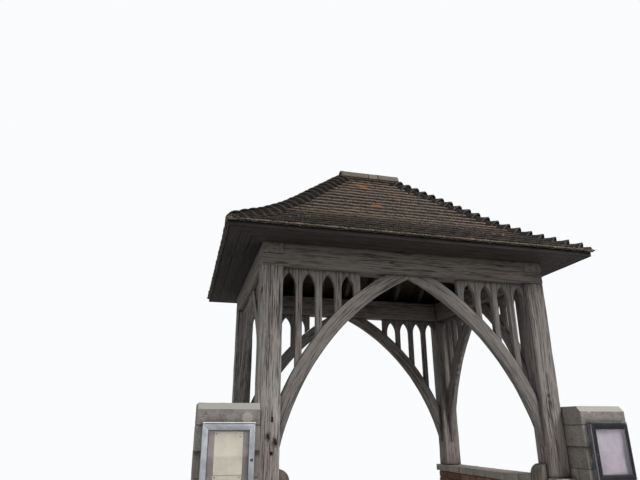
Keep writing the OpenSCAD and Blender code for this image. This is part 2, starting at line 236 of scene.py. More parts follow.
waves, dents = unevenness("waves", 0.16, 2), unevenness("dents", 0.05, 3)


# Wears a surface unevenly: at level 1 it only goes back, below that a little stands out
def wear(piece, texture, depth, level=1.0):
    use_modifier(piece, "DISPLACE", texture=texture, texture_coords="GLOBAL", strength=depth,
                 mid_level=level)


# Rings of edges across a piece at nearly even steps along some of its axes
def rings_along(piece, axes, step):
    for axis in axes:
        low = min(v.co[axis] for v in piece.data.vertices)
        high = max(v.co[axis] for v in piece.data.vertices)
        count = max(int((high - low) / step), 1)
        for k in range(1, count):
            ring_at(piece, axis, low + (high - low) * (k + 0.2 * math.sin(k * 2.4)) / count)


def round_off(piece, width, degrees=50):
    use_modifier(piece, "BEVEL", width=width, segments=2, limit_method="ANGLE",
                 angle_limit=math.radians(degrees))


# Gives every copy of a repeated piece its own tone between 0 and 1
def set_tone(piece, tone):
    mesh = piece.data
    layer = mesh.attributes.get("tone") or mesh.attributes.new("tone", "FLOAT", "POINT")
    layer.data.foreach_set("value", [tone] * len(mesh.vertices))


def finish_piece(piece, material, body="gate", replaces=()):
    piece.data.materials.clear()
    piece.data.materials.append(material)
    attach(piece, body)
    if replaces:
        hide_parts(*replaces)


# ---- materials

class Sheet:
    """A node tree being drawn: adds nodes and joins their sockets."""

    def __init__(self, tree):
        self.tree = tree
        tree.nodes.clear()

    def give(self, socket, value):
        if isinstance(value, bpy.types.NodeSocket):
            self.tree.links.new(value, socket)
        else:
            socket.default_value = value

    def add(self, kind, values=(), **settings):
        n = self.tree.nodes.new("ShaderNode" + kind)
        for key, value in settings.items():
            setattr(n, key, value)
        for key, value in dict(values).items():
            self.give(n.inputs[key], value)
        return n

    def math(self, operation, *given, clamp=False):
        n = self.add("Math", enumerate(given), operation=operation, use_clamp=clamp)
        return n.outputs[0]

    def times(self, a, b, clamp=False):
        return self.math("MULTIPLY", a, b, clamp=clamp)

    def plus(self, a, b):
        return self.math("ADD", a, b)

    # A sum of values, each times its weight
    def weighed(self, *pairs, start=0.0):
        for value, weight in pairs:
            start = self.math("MULTIPLY_ADD", value, weight, start)
        return start

    def vectors(self, operation, *given):
        n = self.add("VectorMath", enumerate(given), operation=operation)
        return n.outputs["Value" if operation in ("LENGTH", "DOT_PRODUCT") else 0]

    def scaled(self, vector, by):
        return self.vectors("MULTIPLY", vector, by)

    # Grey clouds; a scale of three numbers stretches them
    def noise(self, place, scale, detail=4.0, rough=0.55, warp=0.0):
        if isinstance(scale, tuple):
            place, scale = self.scaled(place, scale), 1.0
        return self.add("TexNoise", {"Vector": place, "Scale": scale, "Detail": detail,
                                     "Roughness": rough, "Distortion": warp}).outputs["Fac"]

    def cells(self, place, scale):
        return self.add("TexVoronoi", {"Vector": place, "Scale": scale}, feature="F1").outputs

    # Draws out what lies between two levels of a value, with soft ends
    def spread(self, value, low, high, out_low=0.0, out_high=1.0):
        return self.add("MapRange", {"Value": value, "From Min": low, "From Max": high,
                                     "To Min": out_low, "To Max": out_high},
                        interpolation_type="SMOOTHSTEP").outputs["Result"]

    def parts(self, vector):
        return list(self.add("SeparateXYZ", {0: vector}).outputs)

    def vector(self, x, y, z):
        return self.add("CombineXYZ", {0: x, 1: y, 2: z}).outputs[0]

    # Two colours mixed, each a socket or a shade in steps of 255
    def mixed(self, share, a, b):
        a, b = (seen(*v) if isinstance(v, tuple) else v for v in (a, b))
        n = self.add("Mix", {0: share, 6: a, 7: b}, data_type="RGBA", clamp_factor=True)
        return n.outputs[2]

    def ramp(self, value, *stops):
        n = self.add("ValToRGB", {0: value})
        bar = n.color_ramp.elements
        while len(bar) < len(stops):
            bar.new(0.5)
        for element, (at, shade) in zip(bar, stops):
            element.position = at
            element.color = seen(*shade)
        return n.outputs[0]

    def object_place(self):
        return self.add("TexCoord").outputs["Object"]

    def facing(self, kind="True Normal"):
        return self.parts(self.add("NewGeometry").outputs[kind])


class Group(Sheet):
    """Nodes that several finishes share; the inputs Grain and Place are places."""

    def __init__(self, name, *inputs):
        super().__init__(bpy.data.node_groups.new(name, "ShaderNodeTree"))
        for socket in inputs:
            kind = "NodeSocketVector" if socket in ("Grain", "Place") else "NodeSocketFloat"
            self.tree.interface.new_socket(name=socket, in_out="INPUT", socket_type=kind)
        self.given = self.tree.nodes.new("NodeGroupInput").outputs

    def gives(self, **results):
        for name in results:
            self.tree.interface.new_socket(name=name, in_out="OUTPUT",
                                           socket_type="NodeSocketFloat")
        end = self.tree.nodes.new("NodeGroupOutput")
        for name, socket in results.items():
            self.give(end.inputs[name], socket)
        return self.tree


# Weathered oak with its grain along Z: streaks, fibres, drying checks and knots
def make_oak_grain():
    s = Group("oak_grain", "Grain", "Checks", "Knots")
    g = s.given["Grain"]
    cell = s.cells(s.scaled(g, (2.9, 2.9, 1.15)), 1.0)
    away = cell["Distance"]
    keep = s.math("GREATER_THAN", s.parts(cell["Color"])[0], 0.45)
    swirl = s.times(s.times(s.spread(away, 0.17, 0.0), keep), 0.055)
    x, y, z = s.parts(g)
    bent = s.vector(s.plus(x, swirl), s.plus(y, swirl), z)
    broad = s.noise(bent, (20.0, 20.0, 0.5), 4.0, 0.62, 0.25)
    narrow = s.noise(bent, (104.0, 104.0, 6.5), 4.0, 0.66, 0.3)
    streak = s.weighed((broad, 0.45), (narrow, 0.80), start=-0.125)
    fibre = s.noise(bent, (95.0, 95.0, 2.2), 5.0, 0.65, 0.1)
    fine = s.noise(bent, (330.0, 330.0, 9.0), 3.0, 0.6)
    line = s.noise(bent, (24.0, 24.0, 0.6), 2.5, 0.5, 0.15)
    crack = s.spread(s.math("ABSOLUTE", s.plus(line, -0.5)), 0.0125, 0.004)
    where = s.spread(s.noise(g, (6.0, 6.0, 1.3), 2.0), 0.42, 0.58)
    check = s.times(s.times(crack, where), s.given["Checks"], clamp=True)
    heart = s.times(s.spread(away, 0.052, 0.02), keep)
    knot = s.times(heart, s.given["Knots"], clamp=True)
    height = s.weighed((fibre, 0.65), (fine, 0.35), (streak, 0.8), (check, -2.2), (knot, -0.7))
    return s.gives(Streak=streak, Fibre=fibre, Check=check, Knot=knot, Height=height)


# Where an outer edge is rubbed: the bevelled normal turns away from the flat one
def make_edge_wear():
    s = Group("edge_wear", "Width", "Broken")
    bevel = s.add("Bevel", {"Radius": s.given["Width"]}, samples=4).outputs[0]
    flat = s.add("NewGeometry").outputs["Normal"]
    turn = s.spread(s.vectors("DOT_PRODUCT", bevel, flat), 0.995, 0.86)
    grit = s.noise(s.object_place(), s.given["Broken"], 4.0, 0.6)
    return s.gives(Edge=s.times(turn, s.spread(grit, 0.3, 0.62), clamp=True))


# Round colonies of lichen with a crusted surface
def make_lichen():
    s = Group("lichen", "Place", "Amount", "Size")
    place = s.given["Place"]
    wander = s.add("TexNoise", {"Vector": place, "Scale": 22.0, "Detail": 3.0}).outputs["Color"]
    bent = s.vectors("ADD", place, s.scaled(wander, (0.05, 0.05, 0.05)))
    cell = s.cells(bent, s.given["Size"])
    reach = s.times(s.math("POWER", s.parts(cell["Color"])[0], 2.0), 0.46)
    spot = s.spread(s.math("SUBTRACT", reach, cell["Distance"]), 0.0, 0.07)
    limit = s.math("SUBTRACT", 0.80, s.times(s.given["Amount"], 0.5))
    zone = s.spread(s.math("SUBTRACT", s.noise(place, 2.3, 3.0, 0.6), limit), 0.0, 0.08)
    grain = s.spread(s.noise(place, 260.0, 3.0, 0.7), 0.32, 0.52)
    return s.gives(Crust=s.times(s.times(spot, zone), grain, clamp=True))


# Painted shade that darkens corners, creases and recesses, from ambient occlusion, and dust that
# settles on what faces up
def make_dust_and_corner_shade():
    s = Group("dust_and_corner_shade", "Depth")
    shade = s.add("AmbientOcclusion", {"Distance": s.given["Depth"]}, samples=6).outputs["AO"]
    patchy = s.spread(s.noise(s.object_place(), 9.0, 5.0, 0.6), 0.35, 0.65)
    up = s.spread(s.facing("Normal")[2], 0.35, 0.9)
    return s.gives(Corner=s.spread(shade, 0.92, 0.35), Upward=s.times(up, patchy, clamp=True))


OAK_GRAIN, EDGE_WEAR = make_oak_grain(), make_edge_wear()
LICHEN, DUST_AND_SHADE = make_lichen(), make_dust_and_corner_shade()
# Weathered wood, clay, stone and paint are dull; metal and glass carry more sheen
DULL, SHEEN = 0.12, 0.5


class Finish(Sheet):
    """A material being made, its colour built up coat by coat."""

    def __init__(self, name, sheen=DULL):
        self.material = bpy.data.materials.new(name)
        self.material.use_nodes = True
        super().__init__(self.material.node_tree)
        self.shader = self.add("BsdfPrincipled", {"Specular IOR Level": sheen})
        self.out = self.add("OutputMaterial", {0: self.shader.outputs[0]})
        self.place = self.object_place()
        self.x, self.y, self.z = self.parts(self.place)

    def use(self, group, **values):
        return self.add("Group", values, node_tree=group).outputs

    def tone(self, layer="tone"):
        return self.add("Attribute", attribute_name=layer).outputs["Fac"]

    # A place moved by each piece's own tone, so that no two look alike
    def moved(self, place, shifts):
        return self.vectors("ADD", place, self.scaled(self.tone(), shifts))

    # One more coat of a shade where a mask is set
    def coat(self, mask, shade, strength=1.0):
        if strength != 1.0:
            mask = self.times(mask, strength)
        self.colour = self.mixed(mask, self.colour, shade)

    # Painted shade in corners and recesses
    def corners(self, depth):
        return self.use(DUST_AND_SHADE, Depth=depth)["Corner"]

    def edge(self, width, broken):
        return self.use(EDGE_WEAR, Width=width, Broken=broken)["Edge"]

    def lichen(self, amount, size, scale=1.0):
        place = self.scaled(self.place, (scale, scale, scale))
        return self.use(LICHEN, Place=place, Amount=amount, Size=size)["Crust"]

    # How far it is to a spot, stretched and made ragged
    def gap(self, spot, shape, scale, wander):
        away = self.scaled(self.vectors("SUBTRACT", self.place, spot), shape)
        ragged = self.noise(self.place, scale, 4.0, 0.65)
        return self.weighed((ragged, wander), start=self.vectors("LENGTH", away))

    def done(self, rough, height, depth, metal=0.0):
        bump = self.add("Bump", {"Height": height, "Distance": depth, "Strength": 1.0}).outputs[0]
        for name, value in (("Base Color", self.colour), ("Roughness", rough), ("Normal", bump),
                            ("Metallic", metal)):
            self.give(self.shader.inputs[name], value)
        return self.material


# Where the braces' curves have their centres: across from the middle, and up
ARCS = {"arc_x": (0.9897, 0.7218), "arc_y": (1.3601, 0.9433)}


# Turns a place so that its Z runs along the grain, straight or round a brace's curve
def grain_space(s, run):
    x, y, z = s.x, s.y, s.z
    if run not in ARCS:
        return s.vector(*{"x": (y, z, x), "y": (x, z, y), "z": (x, y, z)}[run])
    across, level = ARCS[run]
    side, flat = (x, y) if run == "arc_x" else (y, x)
    dx = s.plus(s.math("ABSOLUTE", side), across)
    dz = s.plus(z, -level)
    radius = s.math("SQRT", s.plus(s.times(dx, dx), s.times(dz, dz)))
    hand = s.times(s.math("SIGN", side), 3.1)
    return s.vector(radius, flat, s.weighed((s.math("ARCTAN2", dz, dx), 2.3), start=hand))


# silver and lit: two bleached shades and the heights between which they fade out upwards, partly
# weathering and partly painted light below the shade of the eaves
# burrs: place and size of each; lit arris: height of a timber's lower edge and the shade of
# painted bounce light along it
def oak(name, run, shades, checks=0.8, knots=0.6, silver_and_lit=None, bump=0.0035, per_piece=False,
        burrs=(), arris=None):
    s = Finish(name)
    pale, dark, black = shades
    grain = grain_space(s, run)
    if per_piece:
        grain = s.moved(grain, (7.0, 5.0, 3.0))
    wood = s.use(OAK_GRAIN, Grain=grain, Checks=checks, Knots=knots)
    tone = s.weighed((wood["Streak"], 0.49), (wood["Fibre"], 0.51))
    s.colour = s.ramp(tone, (0.40, black), (0.46, dark), (0.54, pale), (0.62, dark), (0.70, pale))
    facing = s.facing()
    if run in ("x", "y"):
        end = s.spread(s.math("ABSOLUTE", facing["xy".index(run)]), 0.8, 0.95)
        rings = s.spread(s.noise(s.place, 26.0, 3.0, 0.5), 0.35, 0.65)
        s.coat(end, s.mixed(rings, dark, pale), 0.9)
    if silver_and_lit:
        grey, white, low, high = silver_and_lit
        patch = s.spread(s.noise(s.place, (2.0, 2.0, 1.0), 3.0, 0.6), 0.25, 0.6)
        lit = s.times(s.spread(s.z, high, low), patch, clamp=True)
        # Painted shade: less of the lit silver on the right-hand posts
        lit = s.times(lit, s.spread(s.x, 0.5, -0.5, 0.4, 1.0))
        s.coat(lit, s.ramp(tone, (0.37, black), (0.42, dark), (0.47, grey), (0.53, white),
                           (0.63, grey), (0.70, white)))
        # Rain splash and hands keep the foot of a post browner than the rest
        s.coat(s.spread(s.z, 1.55, 1.25, 0.0, 0.28), (112, 96, 90))
    s.coat(s.edge(0.008, 24.0), pale, 0.45)
    # Painted shade in corners and where timbers meet
    s.coat(s.corners(0.05), black, 0.55)
    s.coat(wood["Check"], (22, 18, 15), 0.9)
    s.coat(wood["Knot"], (40, 31, 25), 0.85)
    if arris:
        level, bounce_light = arris
        # Painted light: a warm band along the lower arris, on faces that look down
        band = s.spread(s.z, level + 0.016, level + 0.009)
        band = s.times(band, s.spread(facing[2], -0.9, -0.6))
        broken = s.spread(s.noise(s.place, (5.0, 5.0, 30.0), 4.0, 0.6), 0.36, 0.56)
        s.coat(s.times(band, broken), bounce_light, 0.75)
    height = wood["Height"]
    for *spot, size in burrs:
        gap = s.plus(s.gap(spot, (1.25, 1.0, 0.8), 42.0, 0.036), -0.009)
        rim = s.math("SINE", s.times(gap, 520.0))
        inside = s.spread(gap, size + 0.020, size)
        s.coat(inside, s.mixed(s.spread(rim, -0.4, 0.6), dark, pale), 0.75)
        heart = s.spread(gap, size * 0.92, size * 0.72)
        s.coat(heart, (36, 29, 25), 0.92)
        height = s.weighed((s.times(inside, rim), 0.6), (heart, -2.5), start=height)
    return s.done(s.spread(wood["Fibre"], 0.3, 0.7, 0.74, 0.9), height, bump)


# The same oak for timbers that lie along x and along y
def oaks(name, shades, runs=("x", "y"), **looks):
    return {run[-1]: oak(name + "_oak_" + run[-1], run, shades, **looks) for run in runs}


LIES_ALONG = {"front": "x", "back": "x", "left": "y", "right": "y"}
post_oak = oak("post_oak", "z", ((114, 109, 106), (84, 80, 77), (45, 42, 41)), checks=1.0,
               knots=1.0, silver_and_lit=((128, 123, 121), (164, 158, 155), 1.0, 2.75), bump=0.004,
               burrs=((-1.350, POST_FACE, 1.365, 0.030), (-1.292, POST_FACE, 1.323, 0.034),
                      (1.330, POST_FACE, 1.720, 0.026), (1.390, -POST_FACE, 1.450, 0.030),
                      (-1.340, -POST_FACE, 1.900, 0.028)))
gate_post_oak = oak("gate_post_oak", "z", ((108, 101, 94), (80, 74, 68), (46, 41, 37)),
                    checks=0.9, knots=0.7)
spandrel_oak = oak("spandrel_oak", "z", ((106, 101, 98), (79, 75, 73), (45, 42, 40)),
                   checks=0.5, knots=0.4)
plate_oak = oaks("plate", ((104, 98, 93), (80, 75, 71), (48, 44, 41)),
                 arris=(PLATE_Z, (108, 90, 76)))
brace_oak = oaks("brace", ((112, 107, 104), (83, 79, 77), (48, 43, 40)), runs=ARCS)
rafter_oak = oaks("rafter", ((74, 66, 59), (56, 50, 45), (34, 30, 27)), checks=0.4, knots=0.4)
board_oak = oaks("board", ((70, 61, 53), (54, 47, 41), (34, 30, 26)), checks=0.3, per_piece=True)
soffit_oak = oaks("soffit", ((54, 49, 47), (40, 37, 35), (24, 22, 21)), checks=0.4, knots=0.8,
                  per_piece=True)
# The eaves board's oak is darker than the rest as painted shade
shaded_eaves_oak = oaks("eaves", ((40, 36, 35), (30, 27, 26), (20, 18, 18)))


# nose: the shade of painted light on the noses and how far down they face; patches: orange lichen
# laid: tiles in courses, mossy near the eaves, and dark under the next course as painted shadow
# and dirt
def clay(name, pale, mid, dark, lichen, moss, nose=None, patches=(), laid=False):
    s = Finish(name)
    moved = s.moved(s.place, (9.0, 6.0, 1.0))
    cloud = s.noise(moved, 17.0, 5.0, 0.62)
    sand = s.noise(moved, 420.0, 3.0, 0.7)
    above = s.plus(s.z, -TILE_BASE)
    s.colour = s.ramp(s.weighed((s.tone(), 0.62), (cloud, 0.38)),
                      (0.18, dark), (0.42, mid), (0.72, pale), (0.92, mid))
    s.coat(s.spread(sand, 0.35, 0.7, 0.0, 0.35), dark)
    s.coat(s.edge(0.004, 34.0), (150, 136, 120), 0.7)
    if laid:
        # Painted shadow and dirt where each tile lies under the next course
        up = s.weighed((s.noise(moved, 30.0, 3.0, 0.6), 0.16), start=s.tone("up_tile"))
        s.coat(s.spread(up, 0.12, 0.28, 0.0, 0.93), (15, 13, 12))
    # Painted shade in corners and gaps between tiles
    s.coat(s.corners(0.045), (26, 22, 20), 0.85)
    if nose:
        tint, level = nose
        # Painted light on the faces that look down, the noses, broken up here and there
        broken_light = s.spread(s.noise(moved, 46.0, 4.0, 0.65), 0.34, 0.58, 0.3, 1.0)
        light = s.times(s.spread(s.facing()[2], level + 0.08, level - 0.04), broken_light, clamp=True)
        if laid:
            mossy = s.spread(above, 0.42, 0.26, 0.0, 0.88)
            first = s.spread(above, 0.03, 0.018, 1.0, 0.0)
            light = s.times(light, s.math("SUBTRACT", 1.0, s.times(mossy, first)))
            light = s.times(light, s.spread(above, 0.003, 0.007))
            s.coat(s.times(s.spread(above, 0.40, 0.22), first), (30, 28, 25), 0.5)
        s.coat(light, tint)
    green = s.spread(s.noise(s.place, 3.1, 5.0, 0.65), 0.66 - 0.2 * moss, 0.78 - 0.2 * moss)
    if laid:
        low = s.times(s.spread(above, 0.38, 0.06), s.spread(cloud, 0.32, 0.50))
        green = s.math("MAXIMUM", green, low)
    fuzz = s.noise(s.place, 75.0, 4.0, 0.7)
    green = s.times(green, s.spread(fuzz, 0.4, 0.6), clamp=True)
    s.coat(green, (40, 39, 33), 0.85)
    spots = s.lichen(lichen, 16.0)
    s.coat(spots, (158, 132, 98), 0.7)
    for *spot, size in patches:
        gap = s.gap(spot, (0.5, 0.9, 0.9), 38.0, 0.04)
        broken = s.spread(s.noise(s.place, 95.0, 3.0, 0.7), 0.38, 0.60)
        s.coat(s.times(s.spread(gap, size + 0.012, size - 0.008), broken), (172, 102, 58), 0.7)
    s.coat(s.lichen(lichen + 0.2, 30.0, 1.3), (140, 134, 120), 0.5)
    height = s.weighed((sand, 0.35), (cloud, 1.0), (green, s.times(fuzz, 1.6)), (spots, 0.4))
    return s.done(s.spread(cloud, 0.3, 0.7, 0.78, 0.92), height, 0.0022)


tile_clay = clay("tile_clay", (72, 62, 54), (55, 47, 42), (37, 32, 28), 0.42, 0.45,
                 nose=((128, 112, 100), 0.4), laid=True,
                 patches=((-0.183, -0.210, 4.157, 0.054), (-0.125, -0.262, 4.107, 0.046),
                          (-0.168, -0.684, 3.700, 0.052), (0.183, -0.472, 3.905, 0.040),
                          (-0.262, -0.073, 4.290, 0.040), (0.319, -0.060, 4.300, 0.038)))
# The bonnets' dark shades are painted shade
shaded_bonnet_clay = clay("shaded_bonnet_clay", (40, 37, 37), (30, 28, 28), (21, 19, 20), 0.4, 0.25,
                   nose=((78, 71, 66), -0.1))
ridge_clay = clay("ridge_clay", (114, 105, 97), (93, 85, 78), (60, 55, 51), 0.6, 0.3)


# own_share: how much of the tone is each stone's own; top: the shade of painted sky light on
# sloped tops
def stone(name, pale, mid, dark, lichen=0.5, bump=0.003, coarse=1.0, own_share=0.22, top=None,
          patches=()):
    s = Finish(name)
    moved = s.moved(s.place, (5.0, 3.0, 1.0))
    cloud = s.noise(moved, 5.5 * coarse, 6.0, 0.62)
    grit = s.noise(moved, 190.0 * coarse, 4.0, 0.68)
    pits = s.spread(s.cells(moved, 90.0 * coarse)["Distance"], 0.25, 0.0)
    s.colour = s.ramp(s.weighed((cloud, 1 - own_share), (s.tone(), own_share)),
                      (0.30, dark), (0.46, mid), (0.62, pale), (0.74, mid))
    s.coat(s.spread(grit, 0.42, 0.7, 0.0, 0.4), dark)
    speck = s.noise(moved, (52.0, 52.0, 120.0), 3.0, 0.7)
    s.coat(s.spread(speck, 0.51, 0.64, 0.0, 0.75), dark)
    s.coat(s.spread(speck, 0.47, 0.34, 0.0, 0.75), pale)
    s.coat(s.spread(s.noise(s.place, (9.0, 9.0, 1.2), 4.0, 0.6), 0.5, 0.72), dark, 0.4)
    s.coat(s.edge(0.01, 22.0), pale, 0.5)
    # Painted shade in corners and joints, and dust on what faces up
    dust_and_shade = s.use(DUST_AND_SHADE, Depth=0.05)
    s.coat(dust_and_shade["Corner"], (58, 53, 47), 0.6)
    s.coat(dust_and_shade["Upward"], (96, 92, 80), 0.35)
    if top:
        # Painted light: sloped tops lighter, as if lit by the sky
        sky_lit_slope = s.spread(s.facing()[2], 0.2, 0.45)
        s.coat(s.times(sky_lit_slope, s.spread(cloud, 0.3, 0.5, 0.5, 0.85)), top)
    for *spot, size in patches:
        gap = s.gap(spot, (1.0, 1.0, 1.0), 50.0, 0.02)
        s.coat(s.spread(gap, size + 0.014, size + 0.004), (164, 156, 147), 0.5)
    white = s.lichen(lichen, 11.0)
    s.coat(white, (190, 184, 168), 0.75)
    s.coat(s.lichen(lichen - 0.1, 19.0, 1.4), (150, 132, 88), 0.6)
    height = s.weighed((cloud, 0.9), (grit, 0.35), (pits, -0.35), (white, 0.12))
    return s.done(s.spread(grit, 0.3, 0.7, 0.8, 0.94), height, bump)


def mortar(name, pale, mid, dark, lichen=0.2):
    return stone(name, pale, mid, dark, lichen=lichen, coarse=2.4, bump=0.004)


pier_stone = stone("pier_stone", (134, 130, 124), (114, 110, 105), (86, 82, 78))
cap_stone = stone("cap_stone", (127, 123, 118), (108, 104, 100), (80, 77, 73), lichen=0.35,
                  top=(152, 149, 143), patches=((-1.552, -1.36, 1.509, 0.041),
                                                (1.546, -1.36, 1.564, 0.016)))
coping_stone = stone("coping_stone", (142, 137, 128), (122, 117, 109), (90, 86, 79), lichen=0.45)
brick_clay = stone("brick_clay", (142, 104, 84), (116, 82, 66), (80, 60, 52), lichen=0.35,
                   coarse=1.6, own_share=0.6)
joint_mortar = mortar("joint_mortar", (104, 96, 88), (80, 73, 67), (58, 52, 47))
dark_mortar = mortar("dark_mortar", (92, 82, 72), (70, 61, 53), (48, 41, 35))
bedding_mortar = mortar("bedding_mortar", (104, 94, 82), (84, 75, 66), (58, 51, 45), lichen=0.3)


def aluminium(name, dark, mid, pale, metal):
    s = Finish(name, SHEEN)
    smudge = s.noise(s.place, 14.0, 4.0, 0.6)
    s.colour = s.ramp(smudge, (0.3, dark), (0.5, mid), (0.7, pale))
    # Painted shade in corners, and dust on what faces up
    dust_and_shade = s.use(DUST_AND_SHADE, Depth=0.012)
    s.coat(dust_and_shade["Corner"], (92, 90, 88), 0.3)
    s.coat(dust_and_shade["Upward"], (124, 118, 104), 0.15)
    brushed = s.noise(s.place, (70.0, 70.0, 900.0), 2.0, 0.5)
    return s.done(s.spread(smudge, 0.3, 0.7, 0.34, 0.5), brushed, 0.00012, metal)


def notice_glass():
    s = Finish("notice_glass", SHEEN)
    smear = s.spread(s.noise(s.place, (6.0, 6.0, 2.5), 5.0, 0.6), 0.45, 0.75, 0.01, 0.09)
    for name, value in (("Base Color", (0.98, 0.98, 0.98, 1)), ("Transmission Weight", 1.0),
                        ("IOR", 1.45), ("Roughness", smear)):
        s.give(s.shader.inputs[name], value)
    return s.material


# A painted or plastic surface with a fine grain, and painted shade in its corners
def plain_finish(name, pale, mid, dark, rough, grain, depth, metal=0.0, sides=None):
    s = Finish(name)
    cloud = s.noise(s.place, 12.0, 5.0, 0.6)
    fine = s.noise(s.place, grain, 3.0, 0.65)
    s.colour = s.ramp(s.weighed((cloud, 0.6), (fine, 0.4)),
                      (0.34, dark), (0.48, mid), (0.62, pale))
    s.coat(s.edge(0.003, 40.0), sides or pale, 0.6)
    if sides:
        s.coat(s.spread(s.math("ABSOLUTE", s.facing()[1]), 0.8, 0.5), sides)
    # Painted shade in corners
    s.coat(s.corners(0.015), dark, 0.45)
    return s.done(rough, fine, depth, metal)


# Woven cloth over a board
def board_cloth(name, pale, mid, dark):
    s = Finish(name)
    weft, warp = (s.math("SINE", s.times(way, 2600.0)) for way in (s.z, s.x))
    faded = s.noise(s.place, 7.0, 5.0, 0.6)
    fluff = s.noise(s.place, 240.0, 3.0, 0.7)
    s.colour = s.ramp(s.weighed((faded, 0.7), (fluff, 0.3)),
                      (0.36, dark), (0.5, mid), (0.62, pale))
    # Painted shade in the corners of the case
    s.coat(s.corners(0.03), dark, 0.6)
    return s.done(0.95, s.weighed((s.times(weft, warp), 0.25), start=fluff), 0.0006)


case_metal = aluminium("silver_aluminium", (138, 141, 148), (153, 156, 163), (168, 170, 176), 0.75)
# Painted highlight: the left case's body is paler than its frame
highlight_lid_metal = aluminium("highlight_pale_aluminium", (188, 187, 184), (204, 203, 200), (216, 215, 212), 0.3)
case_pane = notice_glass()
# Painted reflection: the right frame's front is dark as a dark reflection, while its sides and
# edges keep the pale metal
dark_reflection_case_metal = plain_finish("dark_reflection_case_metal", (34, 34, 38), (27, 27, 31), (20, 20, 23),
                               0.55, 500.0, 0.0002, sides=(140, 140, 142))
dark_body_metal = plain_finish("dark_body_metal", (110, 110, 114), (74, 74, 78), (50, 50, 54),
                               0.5, 500.0, 0.0002)
dark_rubber = plain_finish("dark_rubber", (60, 58, 60), (38, 37, 40), (24, 23, 25),
                           0.7, 300.0, 0.0003)
lock_metal = plain_finish("lock_metal", (84, 80, 75), (50, 47, 45), (28, 26, 25),
                          0.4, 700.0, 0.0002, metal=0.8)
bare_paper = plain_finish("bare_paper", (232, 226, 210), (224, 218, 200), (208, 200, 182),
                          0.85, 420.0, 0.0003)
mauve_board = board_cloth("mauve_board", (180, 169, 165), (168, 157, 153), (136, 126, 122))
# The right board's lilac tint is partly a painted reflection of the sky in the pane
pale_board = board_cloth("pale_board", (200, 191, 203), (188, 179, 193), (162, 154, 168))


# ---- the roof slopes

# A place on a slope at a distance up it, as run and height, with a sharp bell-cast
def straight_place(d):
    if d <= BELL_LEN:
        return d * math.cos(BELL_PITCH), d * math.sin(BELL_PITCH)
    over = d - BELL_LEN
    return (BELL_RUN + over * math.cos(PITCH),
            BELL_RUN * math.tan(BELL_PITCH) + over * math.sin(PITCH))


# The same with the turn of the bell-cast eased over a reach to either side
def slope_place(d, reach=0.55, steps=11):
    near = reach - abs(d - BELL_LEN)
    if near < 0:
        return straight_place(d)
    off = [i / (steps - 1) * 2 - 1 for i in range(steps)]
    share = [1 - abs(o) * 0.999 for o in off]
    points = [straight_place(d + o * near) for o in off]
    return tuple(sum(p[k] * w for p, w in zip(points, share)) / sum(share) for k in (0, 1))


def slope_lean(d, e):
    (r0, h0), (r1, h1) = slope_place(d), slope_place(e)
    return math.atan2(h1 - h0, r1 - r0)


# The way up a slope of some lean that goes into the roof by the way given
def way_up(inward, lean):
    return inward * math.cos(lean) + Z * math.sin(lean)


# Each slope: the way along its eaves, the way into the roof, and the middle of its eaves
SLOPES = {
    "front": (X, Y, Vector((0, -EAVE_Y, TILE_BASE)), EAVE_X),
    "back": (-X, -Y, Vector((0, EAVE_Y, TILE_BASE)), EAVE_X),
    "left": (-Y, X, Vector((-EAVE_X, 0, TILE_BASE)), EAVE_Y),
    "right": (Y, -X, Vector((EAVE_X, 0, TILE_BASE)), EAVE_Y),
}
TILE_W, TILE_L, TILE_T = 0.163, 0.132, 0.0125
TILE_GAP = 0.0022
# How far the lowest tiles at the ends of the roof stay short of its full length
SIDE_SET_BACK = 0.014


# Cuts both ends of something on a slope along the hips
def mitre_ends(piece, slope):
    way, inward, middle, half = SLOPES[slope]
    cut(piece, middle - way * half, inward - way)
    cut(piece, middle + way * half, way + inward)


# One plain clay tile, lying on z = 0 with its nose at y = 0, slightly cambered
def plain_tile():
    middle = (0, TILE_L / 2, TILE_T)
    tile = made(bpy.ops.mesh.primitive_grid_add, "plain_tile", x_subdivisions=4, y_subdivisions=3,
                size=1, location=middle)
    stretch(tile, lambda p: True, (TILE_W, TILE_L, 1), middle)
    shift(tile, lambda p: abs(p.x) > TILE_W * 0.4, (0, 0, -0.0026))
    shift(tile, lambda p: abs(p.x) > TILE_W * 0.4 and p.y < 0.01, (0, 0.002, -0.0008))
    use_modifier(tile, "SOLIDIFY", thickness=TILE_T, offset=-1)
    bevel_edges(tile, lambda a, b: a.y < 0.004 and b.y < 0.004 and
                min(a.z, b.z) > TILE_T - 0.006 and abs(a.x - b.x) > 0.01, 0.0028)
    face_outwards(tile)
    smooth(tile, 30)
    layer = tile.data.attributes.new("up_tile", "FLOAT", "POINT")
    layer.data.foreach_set("value", [v.co.y / TILE_L for v in tile.data.vertices])
    return tile


def place_on_slope(slope, along, d, lift, lean, twist, roll):
    way, inward, middle, _ = SLOPES[slope]
    run, height = slope_place(d)
    out = way.cross(way_up(inward, slope_lean(max(d - 0.01, 0), d + 0.01)))
    origin = middle + way * along + inward * run + Z * height + out * lift
    up = way_up(inward, lean)
    grid = placing((way, up, way.cross(up)), origin)
    return grid @ Matrix.Rotation(twist, 4, "Z") @ Matrix.Rotation(roll, 4, "Y")


